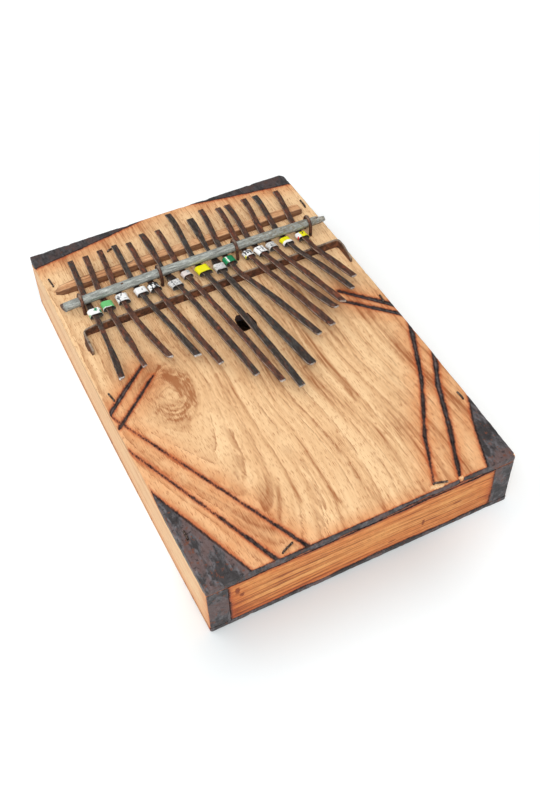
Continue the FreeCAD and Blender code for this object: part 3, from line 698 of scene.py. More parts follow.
# Pale splinters torn out of the soundboard: x, y, half width and half length
TORN_PLACES = [(47.5, -149.6, 4.6, 1.7), (62.5, -151.4, 1.6, 0.9), (100.6, -151.4, 1.3, 1.3)]


def build_soundboard():
    low, high = board_box("soundboard")
    points, faces = slab(low, high, (0.9, 0.9, 1.2), (2.4, 2.4, 1.6))
    x, y, depth = points[:, 0], points[:, 1], high[2] - points[:, 2]
    on_top = depth < TINY
    wear = smooth(x, -HALF_WIDTH + 5, -HALF_WIDTH) * (0.6 + 0.4 * noise(points, (20, 14, 20), 21))
    wear *= smooth(HALF_LENGTH - np.abs(y), 1, 14)
    radius = 1 + (1.3 * wear + 0.35 * noise(points, 9, 22)) * smooth(depth, 5, 2)
    rounded, out = round_edges(points, low, high, radius)

    # burns, deepest at the foot edge, where pale wood breaks through
    areas, lines = burnt_areas(x, y), burnt_lines(x, y)
    burn = np.minimum(areas, lines) + np.where(np.abs(x) > HALF_WIDTH - TINY, depth * 1.6, 0)
    breaks = noise(points, (13, 6, 1.6), 23) + 0.9 * smooth(depth, 1.5, 5.5)
    breaks -= 0.8 * smooth(np.abs(x), 70, 84)
    foot_burn = np.minimum(-4 + 5.5 * np.maximum(breaks, 0), 0.4)
    burn = np.where((y < -HALF_LENGTH + TINY) & ~on_top, foot_burn, burn)

    # relief: burnt grooves, gentle swelling, dimples at the nails, splinters and chips
    groove = 0.55 * smooth(lines, 0.4, -0.8) + 0.22 * smooth(areas, 0.5, -1.5)
    swell = 0.12 * noise(points, (55, 90, 60), 25) + 0.05 * noise(points, (6, 30, 6), 26)
    lift = np.where(on_top, swell - groove, 0)
    lift += 0.12 * smooth(burn, 0.2, -0.6) * noise(points, 1.7, 24)
    for nail in node_islands("soundboard_nails"):
        shank = nail[nail[:, 2] < TOP - 4].mean(0)
        away = np.hypot(x - shank[0], y - shank[1])
        lift -= np.where(on_top, 0.35 * smooth(away, 2.2, 0.8), 0)
    torn = np.zeros(len(points))
    for torn_x, torn_y, wide, tall in TORN_PLACES:
        away = np.hypot((x - torn_x) / wide, (y - torn_y) / tall)
        away += 0.35 * noise(points, (1.6, 1.2, 3), 28)
        torn = np.maximum(torn, smooth(away, 1.15, 0.85) * smooth(depth, 2.5, 0.5))
    burn += torn * (12 - burn)
    chips = 0.5 * smooth(noise(points, 4.5, 27), 0.45, 0.8)
    at_edge = smooth(np.abs(out[:, :2]).max(1) * np.abs(out[:, 2]), 0.15, 0.4)
    rounded += out * (lift - 0.3 * torn - chips * at_edge)[:, None]

    # the rear right corner is cut back as it is in the CAD
    reach = node_points("soundboard")[:, :2].sum(1).max()
    over = np.maximum(rounded[:, :2].sum(1) - reach, 0)
    rounded[:, :2] -= over[:, None] / 2

    grain, fibre, figure = board_grain(x, y)
    # paler where splinters are torn out; painted light: paler from y 30 to 140, brightening the
    # shade beneath the tines
    figure -= 1.6 * torn + 0.45 * smooth(y, 30, 60) * smooth(y, 140, 120)
    by_hole = np.hypot(x - SOUND_HOLE[0], y - SOUND_HOLE[1]) < HOLE_REACH
    # darker from y 120 towards the head where unburnt, and painted shade on the board's inner face
    # round the sound hole
    stain = np.maximum(0.9 * smooth(y, 120, 130) * (burn < 0.3), smooth(depth, 0.5, 2.5) * by_hole)
    piece = wood_piece("soundboard_wood", bowed(rounded), faces, BOARD_FINISH, "board_wood",
                       grain + depth * 0.9, y, fibre=fibre + depth * 0.9, figure=figure,
                       burn=burn, stain=stain)
    cut_sound_hole(piece)
    sharpen(piece, 50)
    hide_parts("soundboard")


# Dark marks on the foot face: x, z, half width and half height
WALL_MARKS = [(-81.5, 32, 1.6, 3.2), (-79, 26, 1.2, 1.4), (39, 16.5, 0.5, 2.6),
              (18, 11, 3, 0.6), (62, 22, 2.5, 0.5)]


def build_wall(node, finish, grain_axis, seed):
    """One board of the box's side; a long wall's grain runs along axis 1."""
    long_wall = grain_axis == 1
    low, high = board_box(node) if long_wall else node_box(node)
    pitch = [1.6, 1.6, 1.0]
    pitch[grain_axis] = 1.2
    points, faces = slab(low, high, pitch, (1.2, 1.2, 1.2))
    x, y, z = points.T
    at_corner = (np.abs(x) > HALF_WIDTH - 3) & (np.abs(y) > HALF_LENGTH - 3)
    radius = np.where(at_corner, 1.1 + 0.3 * noise(points, 8, seed + 1),
                      0.55 + 0.2 * noise(points, 8, seed))
    rounded, out = round_edges(points, low, high, radius)

    from_bottom, from_top = z - low[2], high[2] - z
    wave = noise(points, (14, 14, 60), seed + 2)
    figure = np.zeros(len(points))
    if long_wall:
        from_end = HALF_LENGTH - np.abs(y)
        burn = np.where(from_end < TINY, -5 - wave, from_end + 0.4)
        burn = np.min([burn, from_bottom * 1.5 + 2, figure + PLAIN_BURN], axis=0)
    else:
        ends = 0.6 * (np.minimum(x - low[0], high[0] - x) - 0.3)
        burn = np.min([ends, from_bottom - 1 - 1.2 * wave, from_top - 0.5 - 0.7 * wave], axis=0)
        burn = np.where(np.abs(y) > HALF_LENGTH - 2, burn, PLAIN_BURN)
        figure -= 0.7 * smooth(np.abs(from_top - 4 - wave), 2, 0.5)
        figure -= 0.5 * smooth(x, 10, 80) * smooth(from_top, 22, 6)
        figure += 0.5 * smooth(x, -60, -86) * smooth(from_bottom, 26, 8)
        for mark_x, mark_z, wide, tall in WALL_MARKS:
            mark = np.hypot((x - mark_x) / wide, (z - mark_z) / tall)
            figure += 1.6 * smooth(mark, 1.2, 0.6) * (y < 0)

    lift = 0.07 * noise(points, (30, 30, 2.2), seed + 3)
    lift += 0.16 * noise(points, (50, 50, 20), seed + 4) - 0.05
    lift += 0.12 * smooth(burn, 0.2, -0.6) * noise(points, 1.6, seed + 5)
    rounded += out * lift[:, None]
    if long_wall:
        rounded = bowed(rounded, min(abs(low[0]), abs(high[0])))
    grain = z + 1.8 * noise(points, (70, 70, 40), seed + 6) + 9 * seed
    grain += 0.35 * points[:, 1 - grain_axis]
    wood_piece(node + "_wood", rounded, faces, finish, "wall_wood", grain,
               points[:, grain_axis], (node,), burn=burn, figure=figure)


def build_back_board():
    low, high = board_box("back_board")
    points, faces = slab(low, high, (1.8, 2.0, 1.0), (1.6, 1.6, 1.0))
    x, y, z = points.T
    lower = smooth(z, low[2] + 2, low[2])
    radius = 0.7 + (0.4 + 0.3 * noise(points, 12, 61)) * lower
    rounded, out = round_edges(points, low, high, radius)
    from_end = HALF_LENGTH - np.abs(y)
    burn = np.minimum(from_end, HALF_WIDTH + 4 - np.abs(x)) - 0.8 - 0.8 * noise(points, 14, 62)
    burn = np.where(from_end < TINY, -3.2, burn)
    nicks = 0.5 * smooth(noise(points, 5, 64), 0.5, 0.8) * (from_end < 1)
    lift = 0.15 * smooth(burn, 0.5, -0.5) * noise(points, 2, 63) - nicks * lower
    rounded += out * np.where(z < low[2] + TINY, np.minimum(lift, 0), lift)[:, None]
    grain = x + 3 * noise(points, (50, 120, 50), 65) + 200
    # darkened at the top: a dark joint line below the walls, and painted shade on the face inside
    # the box
    wood_piece("back_board_wood", bowed(rounded), faces, BOARD_FINISH, "board_wood", grain, y,
               ("back_board",), burn=burn, stain=0.9 * smooth(z, high[2] - 0.5, high[2]))


# The stick's outline from front (0) to back (1) and bottom (0) to top (1)
STICK_OUTLINE = [
    (0, 0), (0, 0.2), (0, 0.4), (0, 0.6), (0.01, 0.78), (0.04, 0.92), (0.09, 0.99), (0.2, 1),
    (0.32, 1), (0.44, 1), (0.56, 1), (0.68, 1), (0.8, 1), (0.9, 0.98), (0.96, 0.88), (1, 0.66),
    (1, 0.33), (1, 0), (0.66, 0), (0.33, 0),
]


def build_backrest():
    """The split stick: dark weathered front, paler rough-sawn top, painted shade along the rear
    edge of its left half, pointed left end.
    """
    low, high = node_box("backrest")
    cuts = np.r_[np.linspace(low[0] + 0.05, low[0] + 14, 18),
                 np.linspace(low[0] + 15, high[0] - 6, 150),
                 np.linspace(high[0] - 5.5, high[0] - 0.05, 10)]
    points, faces = loft([
        [(cut, y0 + (y1 - y0) * u, z0 + (z1 - z0) * v) for u, v in STICK_OUTLINE]
        for cut, (_, y0, z0, _, y1, z1) in zip(cuts, sections(["backrest"], 0, cuts))])
    side, share = np.tile(STICK_OUTLINE, (len(cuts), 1)).T
    front = smooth(side, 0.12, 0.05)
    x, y, z = points.T
    wobble, split = noise(points, (13, 30, 30), 71), noise(points, (22, 0.9, 0.9), 72)
    torn = smooth(noise(points, (7, 3, 3), 76), 0.25, 0.75) * front
    y += (0.35 * wobble + 0.28 * split * (0.3 + front) + 0.5 * torn) * smooth(share, 0, 0.25)
    gouge = smooth(np.abs(x + 41), 5, 1) * smooth(side, 0.45, 0.85)
    z -= share * (0.2 + 0.22 * wobble + 0.16 * split + 0.35 * torn + 1.1 * gouge)
    near_left = smooth(x, low[0] + 7, low[0])
    x += 2.4 * np.maximum(noise(points, (60, 1.4, 1.4), 73), 0) * near_left
    weathered = 0.96 + 0.2 * noise(points, (14, 0.8, 0.8), 74)
    stain = np.max([
        front * weathered + gouge, 0.55 * near_left,
        # painted shade: the rear edge of the left half, where a shadowed gap shows
        0.9 * smooth(side, 0.86, 0.94) * smooth(x, -22, -45),
        0.35 * smooth(noise(points, (16, 1.2, 1.2), 75), 0.4, 0.8),
    ], axis=0)
    wood_piece("backrest_stick", points, faces, STICK_FINISH, "stick_wood", y * 1.4 + z, x,
               ("backrest",), 35, stain=np.clip(stain, 0, 1))


# ---- metal pieces

# How far the rod's askew left end and its hammered right end reach along it
LEFT_END, RIGHT_END = 7, 16


def build_rod():
    """The bent bar: pitted and scuffed, its left end cut askew, its right hammered down."""
    low, high = node_box("pressure_rod")
    left, right = low[0] + LEFT_END, high[0] - RIGHT_END
    cuts = np.r_[np.linspace(low[0] + 0.02, left - 1, 12), np.linspace(left, right, 170),
                 np.linspace(right + 1, high[0] - 0.02, 30)]
    spans = sections(["pressure_rod"], 0, cuts)
    radius, centre_z = (high[2] - low[2]) / 2, (low[2] + high[2]) / 2
    whole = (cuts > left) & (cuts < right)
    axis = np.polyfit(cuts[whole], (spans[whole, 1] + spans[whole, 4]) / 2, 2)
    start_y = np.polyval(axis, low[0])
    near = node_points("pressure_rod")
    near = near[near[:, 0] < low[0] + 8]
    sides = (start_y - radius, start_y + radius)
    askew = [near[np.abs(near[:, 1] - side) < radius * 0.3][:, 0].min() for side in sides]
    angles = np.linspace(0, TAU, 40, endpoint=False)
    rings = []
    for cut, span in zip(cuts, spans):
        full = cut < left
        half_y, half_z = (radius, radius) if full else (span[4:] - span[1:3]) / 2
        y = np.polyval(axis, cut) + half_y * np.cos(angles)
        start = np.interp(y, sides, askew) + (cut - low[0]) * 0.35 if full else cut
        rings.append(np.c_[np.maximum(cut, start) + 0 * y, y, centre_z + half_z * np.sin(angles)])
    points, faces = loft(rings)

    x, y, z = points.T.copy()
    out = unit(np.c_[0 * x, y - np.polyval(axis, x), z - centre_z])
    end = smooth(x, right, high[0] - 3)
    dents = 0.14 * noise(points, (7, 2.5, 2.5), 81) + 0.09 * noise(points, (1.7, 1.3, 1.3), 82)
    dents += end * 0.35 * noise(points, (4, 2, 2), 83)
    pit = smooth(np.hypot(x + 55, (y - start_y - 1) * 1.2), 1.6, 0.6)
    points += out * (dents - 0.2 - 0.35 * pit)[:, None]
    torn = smooth(points[:, 0], low[0] + 3, low[0] + 0.5)
    points[:, 1:] += torn[:, None] * 0.35 * np.c_[noise(points, 2, 86),
                                                  np.minimum(noise(points, 2, 87), 0)]
    rust = np.max([0.9 * torn, 0.75 * end * smooth(noise(points, (4, 2.5, 2.5), 84), 0, 0.6),
                   0.5 * smooth(noise(points, (6, 2, 2), 85), 0.55, 0.85), 0.9 * pit], axis=0)
    # the rod's underside is marked for painted shade in its material
    make_piece("pressure_rod_bar", points, faces, ZINC_FINISH, "galvanised_bar", "box",
               ("pressure_rod",), 50, span=points[:, 0], under=smooth(out[:, 2], 0.2, -0.7),
               rust=rust)


def tube(path, radius, sides, seed, rough):
    """Points and faces of a rough wire along a path of points."""
    steps = unit(np.gradient(path, axis=0))
    across = unit(np.cross(steps, [1, 0, 0]))
    other = np.cross(steps, across)
    angles = np.linspace(0, TAU, sides, endpoint=False)[:, None]
    rings = []
    for centre, right, up in zip(path, across, other):
        direction = right * np.cos(angles) + up * np.sin(angles)
        size = radius + rough * noise(centre + direction * radius, 2.4, seed)
        rings.append(centre + direction * size[:, None])
    return loft(rings)


def build_ties():
    """Four staples of rusty wire over the rod, each bent a little differently."""
    rod_z = sum(corner[2] for corner in node_box("pressure_rod")) / 2
    all_points, all_faces, worn = [], [], []
    turn = np.linspace(math.pi, 0, 21)
    for number, tie in enumerate(sorted(node_islands("rod_ties"), key=lambda t: t[:, 0].mean())):
        radius = np.ptp(tie[:, 0]) / 2
        above = tie[tie[:, 2] > rod_z][:, 1]
        middle, reach = (above.max() + above.min()) / 2, np.ptp(above) / 2 - radius
        bottom = tie[:, 2].min() + radius
        toe, heel = tie[:, 1].min() + radius, tie[:, 1].max() - radius
        front, rear = middle - reach, middle + reach
        leg = np.linspace(bottom + 1.6, rod_z - 0.6, 12)
        side_view = np.concatenate([
            [(toe, bottom), (toe + 2, bottom), (front - 1.3, bottom), (front - 0.4, bottom + 0.5)],
            np.c_[0 * leg + front, leg],
            np.c_[middle + reach * np.cos(turn), rod_z + reach * np.sin(turn)],
            np.c_[0 * leg + rear, leg[::-1]],
            [(rear + 0.4, bottom + 0.5), (rear + 1.3, bottom), (heel - 2, bottom), (heel, bottom)],
        ])
        path = np.c_[np.full(len(side_view), tie[:, 0].mean()), side_view]
        path[:, 0] += 0.35 * noise(path, 5, 90 + number) * smooth(path[:, 2], TOP, TOP + 3)
        points, faces = tube(path, radius, 14, 95 + number, 0.14)
        start = sum(map(len, all_points))
        all_points.append(points)
        all_faces += [[i + start for i in face] for face in faces]
        worn.append(0.5 * smooth(points[:, 2], rod_z + reach, rod_z + reach + radius))
    make_piece("rod_tie_wires", np.concatenate(all_points), all_faces, RUST_FINISH,
               "rusty_wire", "box", ("rod_ties",), worn=np.concatenate(worn))


def bridge_path():
    """The strip's middle line in plan from the CAD bridge, its thickness and top heights."""
    points = node_points("bridge")
    low, high = node_box("bridge")
    toe = points[(points[:, 1] < low[1] + 0.01) & (points[:, 0] < 0)]
    thick = np.ptp(toe[:, 0])
    outside = points[points[:, 1] > high[1] - 0.01]
    bend = outside[:, 0].min() - low[0] - thick / 2
    line, left, right = high[1] - thick / 2, low[0] + thick / 2, high[0] - thick / 2
    leg = np.linspace(low[1], line - bend, 18)
    turn = np.linspace(math.pi, math.pi / 2, 9)[1:-1]
    sweep = bend * np.c_[np.cos(turn), np.sin(turn)]
    path = np.concatenate([
        np.c_[0 * leg + left, leg],
        (left + bend, line - bend) + sweep,
        np.c_[np.linspace(left + bend, right - bend, 120), np.full(120, line)],
        (right - bend, line - bend) + sweep[::-1] * (-1, 1),
        np.c_[0 * leg + right, leg[::-1]],
    ])
    top = []
    for x, y in path:
        on_leg = y < line - 0.5 * bend
        met = crossings("bridge", 1, y) if on_leg else crossings("bridge", 0, x)
        top.append(met[(met[:, 0] * x > 0) | (not on_leg)][:, 2].max())
    return path, thick, top


# How far the left leg's lower edge stands out from its upper edge
LEG_LEAN = 1.8

# The strip's outline: across it in thicknesses, and up it from 0 to 1
STRIP_OUTLINE = [(-0.5, 0), (-0.5, 0.3), (-0.5, 0.6), (-0.5, 0.85), (-0.44, 0.97), (-0.3, 1),
                 (0.3, 1), (0.44, 0.97), (0.5, 0.85), (0.5, 0.6), (0.5, 0.3), (0.5, 0)]


def build_bridge():
    """The strip on edge: rust-brown faces, top edge rubbed pale by the tines."""
    path, thick, top = bridge_path()
    low = node_box("bridge")[0]
    steps = unit(np.gradient(path, axis=0))
    rings = []
    for (x, y), (along_x, along_y), high in zip(path, steps, top):
        foot = low[2] if y < low[1] + 4 else TOP - 0.6
        rings.append([(x + along_y * side * thick, y - along_x * side * thick,
                       foot + (high - foot) * share) for side, share in STRIP_OUTLINE])
    points, faces = loft(rings)
    height = np.tile([share for _, share in STRIP_OUTLINE], len(path))
    x, y, z = points.T
    y += 0.3 * noise(points, (26, 40, 12), 101) * smooth(height, 0, 0.3)
    line = path[:, 1].max()
    x += LEG_LEAN * smooth(y, line - 2, line - 9) * (x < 0) * (height - 1)
    z += 0.12 * (noise(points, 6, 102) - 1) * smooth(height, 0.5, 0.9)
    points[:, :2] += 0.1 * noise(points, 2.4, 103)[:, None]
    worn = smooth(height, 0.9, 0.99) * (0.8 + 0.3 * noise(points, (10, 4, 4), 104))
    make_piece("bridge_strip", points, faces, RUST_FINISH, "rusty_strip", "box", ("bridge",),
               40, worn=worn)


# Each tine: how brown it is (dark scale below 0, rust above), length of its filed tip, how
# far the tip kicks up and how far its end is cut askew
TINE_LOOKS = [
    (-0.02, 1.2, 0, 0.5), (0.12, 0.5, 0, 0.2), (0.16, 1.0, 0, -0.5), (-0.1, 1.4, 0, 0),
    (0.12, 0.7, 0, 0.3), (0, 0.5, 0, 0.1), (0.14, 0.8, 0, -0.2), (-0.12, 0.5, 0, 0.1),
    (-0.14, 0.4, 0, 0.2), (0, 0.5, 0, 0.2), (0.18, 0.5, 0, 0.1), (0.06, 0.8, 0.8, 0.2),
    (0.14, 0.5, 0, -0.7), (-0.04, 0.5, 0, 0.3), (0.1, 0.5, 0, 0.2),
]
TINE_SIDES = 20
TINE_ROUNDNESS = 1 / 3

# Last cuts before the tip, so that its bevel comes out crisp
TIP_CUTS = np.array([3.2, 2.5, 1.9, 1.4, 1.0, 0.65, 0.35, 0.15, 0.03])

# The tongue would bend from the bridge to this many times as far beyond its hinge; build_tine works
# these points out but never applies them
BLEND_BEYOND = 2.2


def build_tine(number):
    """One tine as a single forged bar that follows its shank and its tongue."""
    names = [f"tine_{number:02d}_shank", f"tine_{number:02d}_tongue"]
    butt, tip = node_box(names[0])[1][1], node_box(names[1])[0][1]
    cuts = np.r_[np.linspace(butt - 0.02, tip + 4, int((butt - tip) / 1.3)), tip + TIP_CUTS]
    parting = (node_box(names[0])[0][1], node_box(names[1])[1][1])
    cuts = cuts[(cuts < min(parting) - 0.4) | (cuts > max(parting) + 0.4)]
    angles = np.linspace(0, TAU, TINE_SIDES, endpoint=False) + math.pi / TINE_SIDES
    across, upward = [np.sign(turn) * np.abs(turn) ** TINE_ROUNDNESS
                      for turn in (np.cos(angles), np.sin(angles))]
    points, faces = loft([
        np.c_[(x0 + x1 + (x1 - x0) * across) / 2, 0 * across + cut,
              (z0 + z1 + (z1 - z0) * upward) / 2]
        for cut, (x0, _, z0, x1, _, z1) in zip(cuts, sections(names, 1, cuts))])

    side, up = np.tile([across, upward], len(cuts))
    rust, filed, kick, askew = TINE_LOOKS[number - 1]
    from_tip = np.repeat(cuts - tip, TINE_SIDES)
    seed = 200 + 7 * number
    x, y, z = points.T
    free = smooth(y, 62, 52)
    run = y[:, None] * [1, 0, 0]
    width_wave, shift = noise(run + number * 9.7, 9, seed), noise(run + number * 5.3, 13, seed + 4)
    x += (side * 0.26 * width_wave + 0.2 * shift) * (0.3 + 0.7 * free)
    facets, dents = noise(points, (2.6, 5, 40), seed + 1), noise(points, (1.4, 1.8, 40), seed + 2)
    bevel = smooth(from_tip, 1.6, 0)
    z += up * np.minimum(0.12 * facets + 0.06 * dents - 0.04, 0.06)
    z += kick * smooth(from_tip, 6, 0) - np.where(up > 0, 0.35 * bevel, 0)
    y += bevel * (0.3 * noise(points, (1.6, 50, 50), seed + 3) + askew * side + 0.3)
    # pale upper edges: worn metal, plus a painted highlight that makes the left edges brighter than
    # the right
    arris = np.abs(side) ** 3 * smooth(up, -0.2, 0.6) * np.where(side < 0, 1, 0.6)
    piece = make_piece(f"tine_{number:02d}_bar", points, faces, TINE_FINISH,
                       "tine_grey" if rust <= 0 else "tine_brown", nodes=names, crease=38,
                       tip=from_tip - filed, arris=arris, rust=np.full(len(points), rust))
    joint = JOINTS[f"tine_{number:02d}_flex"]
    pivot = np.array(joint["pos_m"])
    ahead = np.cross(joint["axis"], [0, 0, 1])
    before = (node_box("bridge")[1][1] * MM - pivot[1]) / ahead[1]
    pivot + ahead * before
    pivot - ahead * before * BLEND_BEYOND
    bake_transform(piece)


# ---- tin cuffs

WHITE, YELLOW, DARK = (255, 255, 254), (248, 240, 14), (84, 84, 90)
PALE_GREEN, GREEN, BLACK = (112, 200, 122), (12, 138, 88), (30, 30, 34)
SILVER, PINK, RED, GREY = (226, 224, 221), (232, 220, 216), (224, 48, 36), (190, 190, 190)

# Each cuff: slot, ground colour, then patches (colour, from, to, front, back, raggedness).
# From and to run across the cuff from its left side (-1) to its right (1); front (-1) is the
# end nearer the tips and back (1) the end nearer the rod.
CUFF_PRINTS = [
    ("tin_white", WHITE, (GREEN, 0.1, 0.5, 0.1, 1.1, 0.35),
     (PALE_GREEN, -1.4, -0.9, -1.1, -0.2, 0.3), (GREEN, 0.8, 1.5, -0.9, 0.4, 0.3)),
    ("tin_light_green", PALE_GREEN, (WHITE, -1.4, 0.4, -1.2, -0.72, 0.15)),
    ("tin_white", WHITE, (DARK, -0.7, -0.5, -1.2, 0.9, 0.25),
     (DARK, -0.1, 0.05, 0.2, 0.9, 0.25), (GREY, 0.1, 0.6, -0.6, -0.4, 0.2)),
    ("tin_white", WHITE, (DARK, 0.15, 0.35, -0.2, 0.3, 0.25)),
    ("tin_black", BLACK, (WHITE, -1.3, -0.55, -1.2, 0.6, 0.4),
     (WHITE, -0.25, 0.05, -0.7, 0.5, 0.3), (WHITE, 0.4, 0.7, -1.2, 0.1, 0.35),
     (GREY, 0, 0.3, 0.5, 1.2, 0.3)),
    ("tin_silver", SILVER, (DARK, -0.5, -0.36, -1.2, 1.2, 0.15),
     (GREY, -0.1, 0.15, -1.2, 1.2, 0.2), (DARK, 0.52, 0.62, -1.2, 1.2, 0.12)),
    ("tin_pink", PINK, (GREY, 0.3, 1.2, -0.2, 1.2, 0.4)),
    ("tin_yellow", YELLOW),
    ("tin_silver", SILVER, (GREY, 0.2, 0.6, -1.2, 1.2, 0.3)),
    ("tin_green", GREEN, (WHITE, -0.5, -0.22, -1.2, 1.2, 0.12),
     (PALE_GREEN, -0.62, -0.5, -1.2, 1.2, 0.1)),
    ("tin_black", WHITE, (BLACK, -0.95, -0.55, -0.5, 1.2, 0.3),
     (BLACK, -0.3, 0.05, -0.3, 1.2, 0.35), (BLACK, 0.3, 0.7, -0.6, 0.6, 0.4),
     (BLACK, -0.6, 0.9, 0.35, 0.7, 0.35), (YELLOW, -1.5, -0.8, -1.2, -0.3, 0.2)),
    ("tin_white", WHITE, (DARK, -0.45, -0.3, -1.2, 0.9, 0.25),
     (DARK, 0.3, 0.44, -0.8, 1.2, 0.25), (DARK, -0.2, 0.3, 0.2, 0.45, 0.3)),
    ("tin_silver", SILVER, (DARK, -0.32, -0.12, -1.2, 1.2, 0.4),
     (GREY, 0.3, 0.8, -1.2, 1.2, 0.5)),
    ("tin_yellow", YELLOW, (WHITE, -1.6, 1.6, -1.2, -0.15, 0.12)),
    ("tin_yellow", YELLOW, (WHITE, -1.6, -0.25, -1.2, 1.2, 0.12),
     (RED, -1.6, -0.85, -1.2, -0.1, 0.2), (BLACK, 0.2, 0.45, 0.2, 1.2, 0.3)),
]
# Painted shade: the dark inside of each cuff, and its underside below the tine
INSIDE_PAINT, UNDER_PAINT = (96, 88, 80), (70, 64, 60)
METAL = 0.28

# Points round a cuff, along it, and in the lap of its two ends
AROUND, ALONG, LAP = 96, 15, 6

# These tines are too wide for a cuff with strongly rounded shoulders
WIDE_TINES = (6, 9)
SHOULDER, WIDE_SHOULDER, HEEL = 2.3, 1.6, 0.9


def rounded_loop(half, low, high, bottom_round, top_round, count):
    """Points round a rectangle with rounded corners, from bottom middle, left side first."""
    outline = [(0, low)]
    for side, end, radius, first in ((-1, low, bottom_round, 270), (-1, high, top_round, 180),
                                     (1, high, top_round, 90), (1, low, bottom_round, 0)):
        cx, cz = side * (half - radius), end - math.copysign(radius, end)
        for angle in np.radians(np.linspace(first, first - 90, 13)):
            outline.append((cx + radius * math.cos(angle), cz + radius * math.sin(angle)))
    outline = np.array(outline + [(0, low)])
    run = np.r_[0, np.cumsum(np.hypot(*np.diff(outline, axis=0).T))]
    at = np.linspace(0, run[-1], count)
    return np.c_[np.interp(at, run, outline[:, 0]), np.interp(at, run, outline[:, 1])]


def build_cuff(number):
    """A strip of tin bent round the tine, its ends lapped underneath."""
    node = f"cuff_{number:02d}"
    joint = JOINTS[node + "_rattle"]
    ahead = np.array(joint["axis"])
    side = np.cross([0, 0, 1], ahead)
    side /= np.linalg.norm(side)
    axes = np.array([side, np.cross(ahead, side), ahead])
    local = node_points(node) @ axes.T
    low, high = local.min(0), local.max(0)
    half, height, half_run = (high - low) / 2
    shoulder = WIDE_SHOULDER if number in WIDE_TINES else SHOULDER
    loop = rounded_loop(half, -height, height, HEEL, shoulder, AROUND)
    loop = np.concatenate([loop, loop[1:LAP + 1]])
    step = np.gradient(loop, axis=0)
    step[0], step[-1] = step[1], step[-2]
    step = unit(step)
    normal = np.c_[-step[:, 1], step[:, 0]]

    # rows run round the cuff and columns along it
    seed = 400 + 5 * number
    count = len(loop)
    place = np.repeat(np.arange(count), ALONG)
    run = np.tile(np.linspace(-1, 1, ALONG), count)
    probe = np.c_[loop[place], run * half_run]
    crumple = 0.13 * noise(probe, (2.4, 2.4, 2.2), seed) + 0.05 * noise(probe, 1, seed + 1)
    lapped = (METAL + 0.07) * smooth(place, count - 2 * LAP, count - LAP - 2)
    lift = np.maximum(crumple + 0.16 * run ** 4, -0.1) + lapped
    ragged = 0.22 * noise(probe * [1, 1, 0] + [0, 0, 5], (2.2, 2.2, 1), seed + 2)
    reach = probe[:, 2] + (ragged + 0.12 * probe[:, 0] / half) * np.abs(run)
    outer = loop[place] + normal[place] * lift[:, None]
    skins = [np.c_[skin, reach] for skin in (outer, outer - normal[place] * METAL)]
    points = (np.concatenate(skins) + (low + high) / 2) @ axes
    paint, bare = cuff_paint(number, probe, half, half_run, seed)
    # the inner skin is painted dark as shade
    inner = np.tile(tint(*INSIDE_PAINT), (len(probe), 1))
    make_piece(node + "_tin", points, box_faces(np.arange(len(points)).reshape(2, count, ALONG)),
               TIN_FINISH, CUFF_PRINTS[number - 1][0], joint["child"], (node,), 50,
               paint=np.concatenate([paint, inner]), bare=np.r_[bare, np.full(len(probe), 0.3)])


def cuff_paint(number, probe, half, half_run, seed):
    """Each point's printed colour, darkened beneath as painted shade, and how bare its tin is."""
    _, ground, *patches = CUFF_PRINTS[number - 1]
    paint = np.tile(tint(*ground), (len(probe), 1))
    height, v = probe[:, 1], probe[:, 2] / half_run
    x = probe[:, 0] / half * (1 + 0.35 * smooth(height, 1, -2.5))
    for index, (colour, left, right, front, back, rag) in enumerate(patches):
        stray = rag * noise(probe, 1.1, seed + 10 + index)
        # the slide's positive end is the front of the cuff
        across, run = x + stray, stray - v
        paint[(across > left) & (across < right) & (run > front) & (run < back)] = tint(*colour)
    # painted shade on the underside, below the tine
    hidden = smooth(height, height.min() + 1.3, height.min() + 0.5)[:, None]
    paint = paint * (1 - hidden) + np.array(tint(*UNDER_PAINT)) * hidden
    return paint, 0.28 * smooth(np.abs(v), 0.9, 1) + (0.5 if ground == SILVER else 0)


# ---- the rest

SKY_LIGHT = 0.42
FLOOR_GLOW, FAR_GLOW = 0.29, 0.4
FLOOR_COLOUR, WHITE_LIGHT = (0.78, 0.815, 0.825, 1.0), (1.0, 1.0, 1.0, 1.0)
FLOOR_SIZE = 5.0

# Soft lights: name, place in metres, width and power
LIGHTS = [
    ("key", (-0.7, 0.4, 1.15), 1.2, 6.5),
    ("fill", (-0.35, -0.85, 1.3), 1.0, 14.0),
    ("side", (-1.1, -0.2, 0.35), 0.8, 0.9),
]

CAMERA_AZIMUTH, CAMERA_ELEVATION, CAMERA_ROLL = -24.7, 49.5, -2.29
CAMERA_LENS = 46.3
CAMERA_PLACE = (-184.7, -428.5, 487.3)


def finish_cad_nails():
    """The nails keep their CAD shapes."""
    for node in ("soundboard_nails", "back_board_nails"):
        materials = frame["nodes"][node].data.materials
        materials.clear()
        materials.append(NAIL_FINISH)


def add_object(name, data):
    thing = bpy.data.objects.new(name, data)
    bpy.context.scene.collection.objects.link(thing)
    return thing


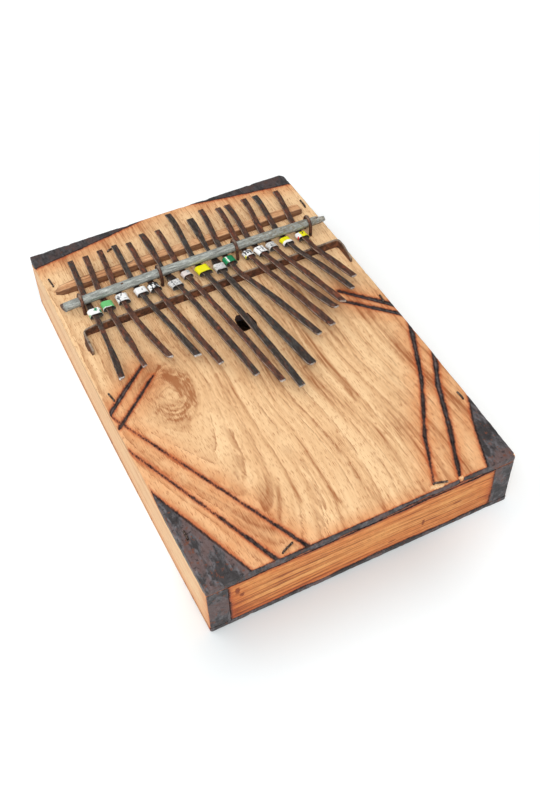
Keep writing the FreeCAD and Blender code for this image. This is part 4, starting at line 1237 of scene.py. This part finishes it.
def build_floor():
    """A white floor that glows for the camera, less so close to the box's foot, where the dimmer
    glow is a painted shadow.
    """
    s = Shader("floor_white")
    seen = s.take("LightPath", (), "Is Camera Ray")
    ground = s.add("SeparateXYZ", {0: s.place(1)}).outputs
    beside = (Value(s, ground[0]) + HALF_WIDTH * 0.3).math("ABSOLUTE") + HALF_WIDTH * -0.5
    beside = beside.math("MAXIMUM", 0.0)
    before = Value(s, ground[1]) + HALF_LENGTH
    away = (beside * beside + before * before).math("SQRT")
    # painted shadow: no glow within about 5 mm of the foot side, full glow beyond 90 mm
    glow = (1.0 - away.fade(90.0, 5.0)) * (away.fade(250.0, 1200.0) * FAR_GLOW + FLOOR_GLOW)
    s.feed(s.surface, {"Emission Color": WHITE_LIGHT, "Emission Strength": seen * glow})
    mesh = bpy.data.meshes.new("floor")
    corners = [(x * FLOOR_SIZE, y * FLOOR_SIZE, 0) for x, y in ((-1, -1), (1, -1), (1, 1), (-1, 1))]
    mesh.from_pydata(corners, [], [(0, 1, 2, 3)])
    mesh.materials.append(s.done(FLOOR_COLOUR, 0.9, specular=0.0))
    add_object("floor", mesh)


def build_world():
    """A soft white sky, fully white where the camera sees it."""
    world = bpy.data.worlds.new("studio")
    world.use_nodes = True
    tree = world.node_tree
    background = tree.nodes["Background"]
    background.inputs[0].default_value = WHITE_LIGHT
    backdrop = tree.nodes.new("ShaderNodeMapRange")
    backdrop.inputs["To Min"].default_value = SKY_LIGHT
    seen = tree.nodes.new("ShaderNodeLightPath").outputs["Is Camera Ray"]
    tree.links.new(seen, backdrop.inputs["Value"])
    tree.links.new(backdrop.outputs[0], background.inputs[1])
    bpy.context.scene.world = world


def build_lights():
    centre = Vector((0, 0, TOP * MM))
    for name, place, width, power in LIGHTS:
        light = bpy.data.lights.new(name, "AREA")
        light.size, light.energy = width, power
        lamp = add_object(name, light)
        lamp.location = place
        lamp.rotation_euler = (centre - lamp.location).to_track_quat("-Z", "Y").to_euler()


def build_camera():
    """The photograph's viewpoint; the place is measured from the middle of the soundboard."""
    a, e = math.radians(CAMERA_AZIMUTH), math.radians(CAMERA_ELEVATION)
    back = Vector((math.sin(a) * math.cos(e), -math.cos(a) * math.cos(e), math.sin(e)))
    turn = (-back).to_track_quat("-Z", "Y").to_matrix()
    turn = turn @ Matrix.Rotation(math.radians(CAMERA_ROLL), 3, "Z")
    camera = bpy.data.cameras.new("camera")
    camera.lens, camera.sensor_width = CAMERA_LENS, 36.0
    camera.clip_start, camera.clip_end = 0.01, 20.0
    holder = add_object("camera", camera)
    place = Vector(CAMERA_PLACE) + Vector((0, 0, TOP))
    holder.matrix_world = Matrix.Translation(place * MM) @ turn.to_4x4()
    bpy.context.scene.camera = holder


build_soundboard()
build_wall("left_wall", SIDE_FINISH, 1, 31)
build_wall("right_wall", SIDE_FINISH, 1, 41)
build_wall("foot_wall", FOOT_FINISH, 0, 51)
build_wall("head_wall", FOOT_FINISH, 0, 57)
build_back_board()
build_backrest()
build_rod()
build_ties()
build_bridge()
for tine in range(1, len(TINE_LOOKS) + 1):
    build_tine(tine)
    build_cuff(tine)
finish_cad_nails()
build_floor()
build_world()
build_lights()
build_camera()
bpy.context.scene.view_settings.view_transform = "Standard"
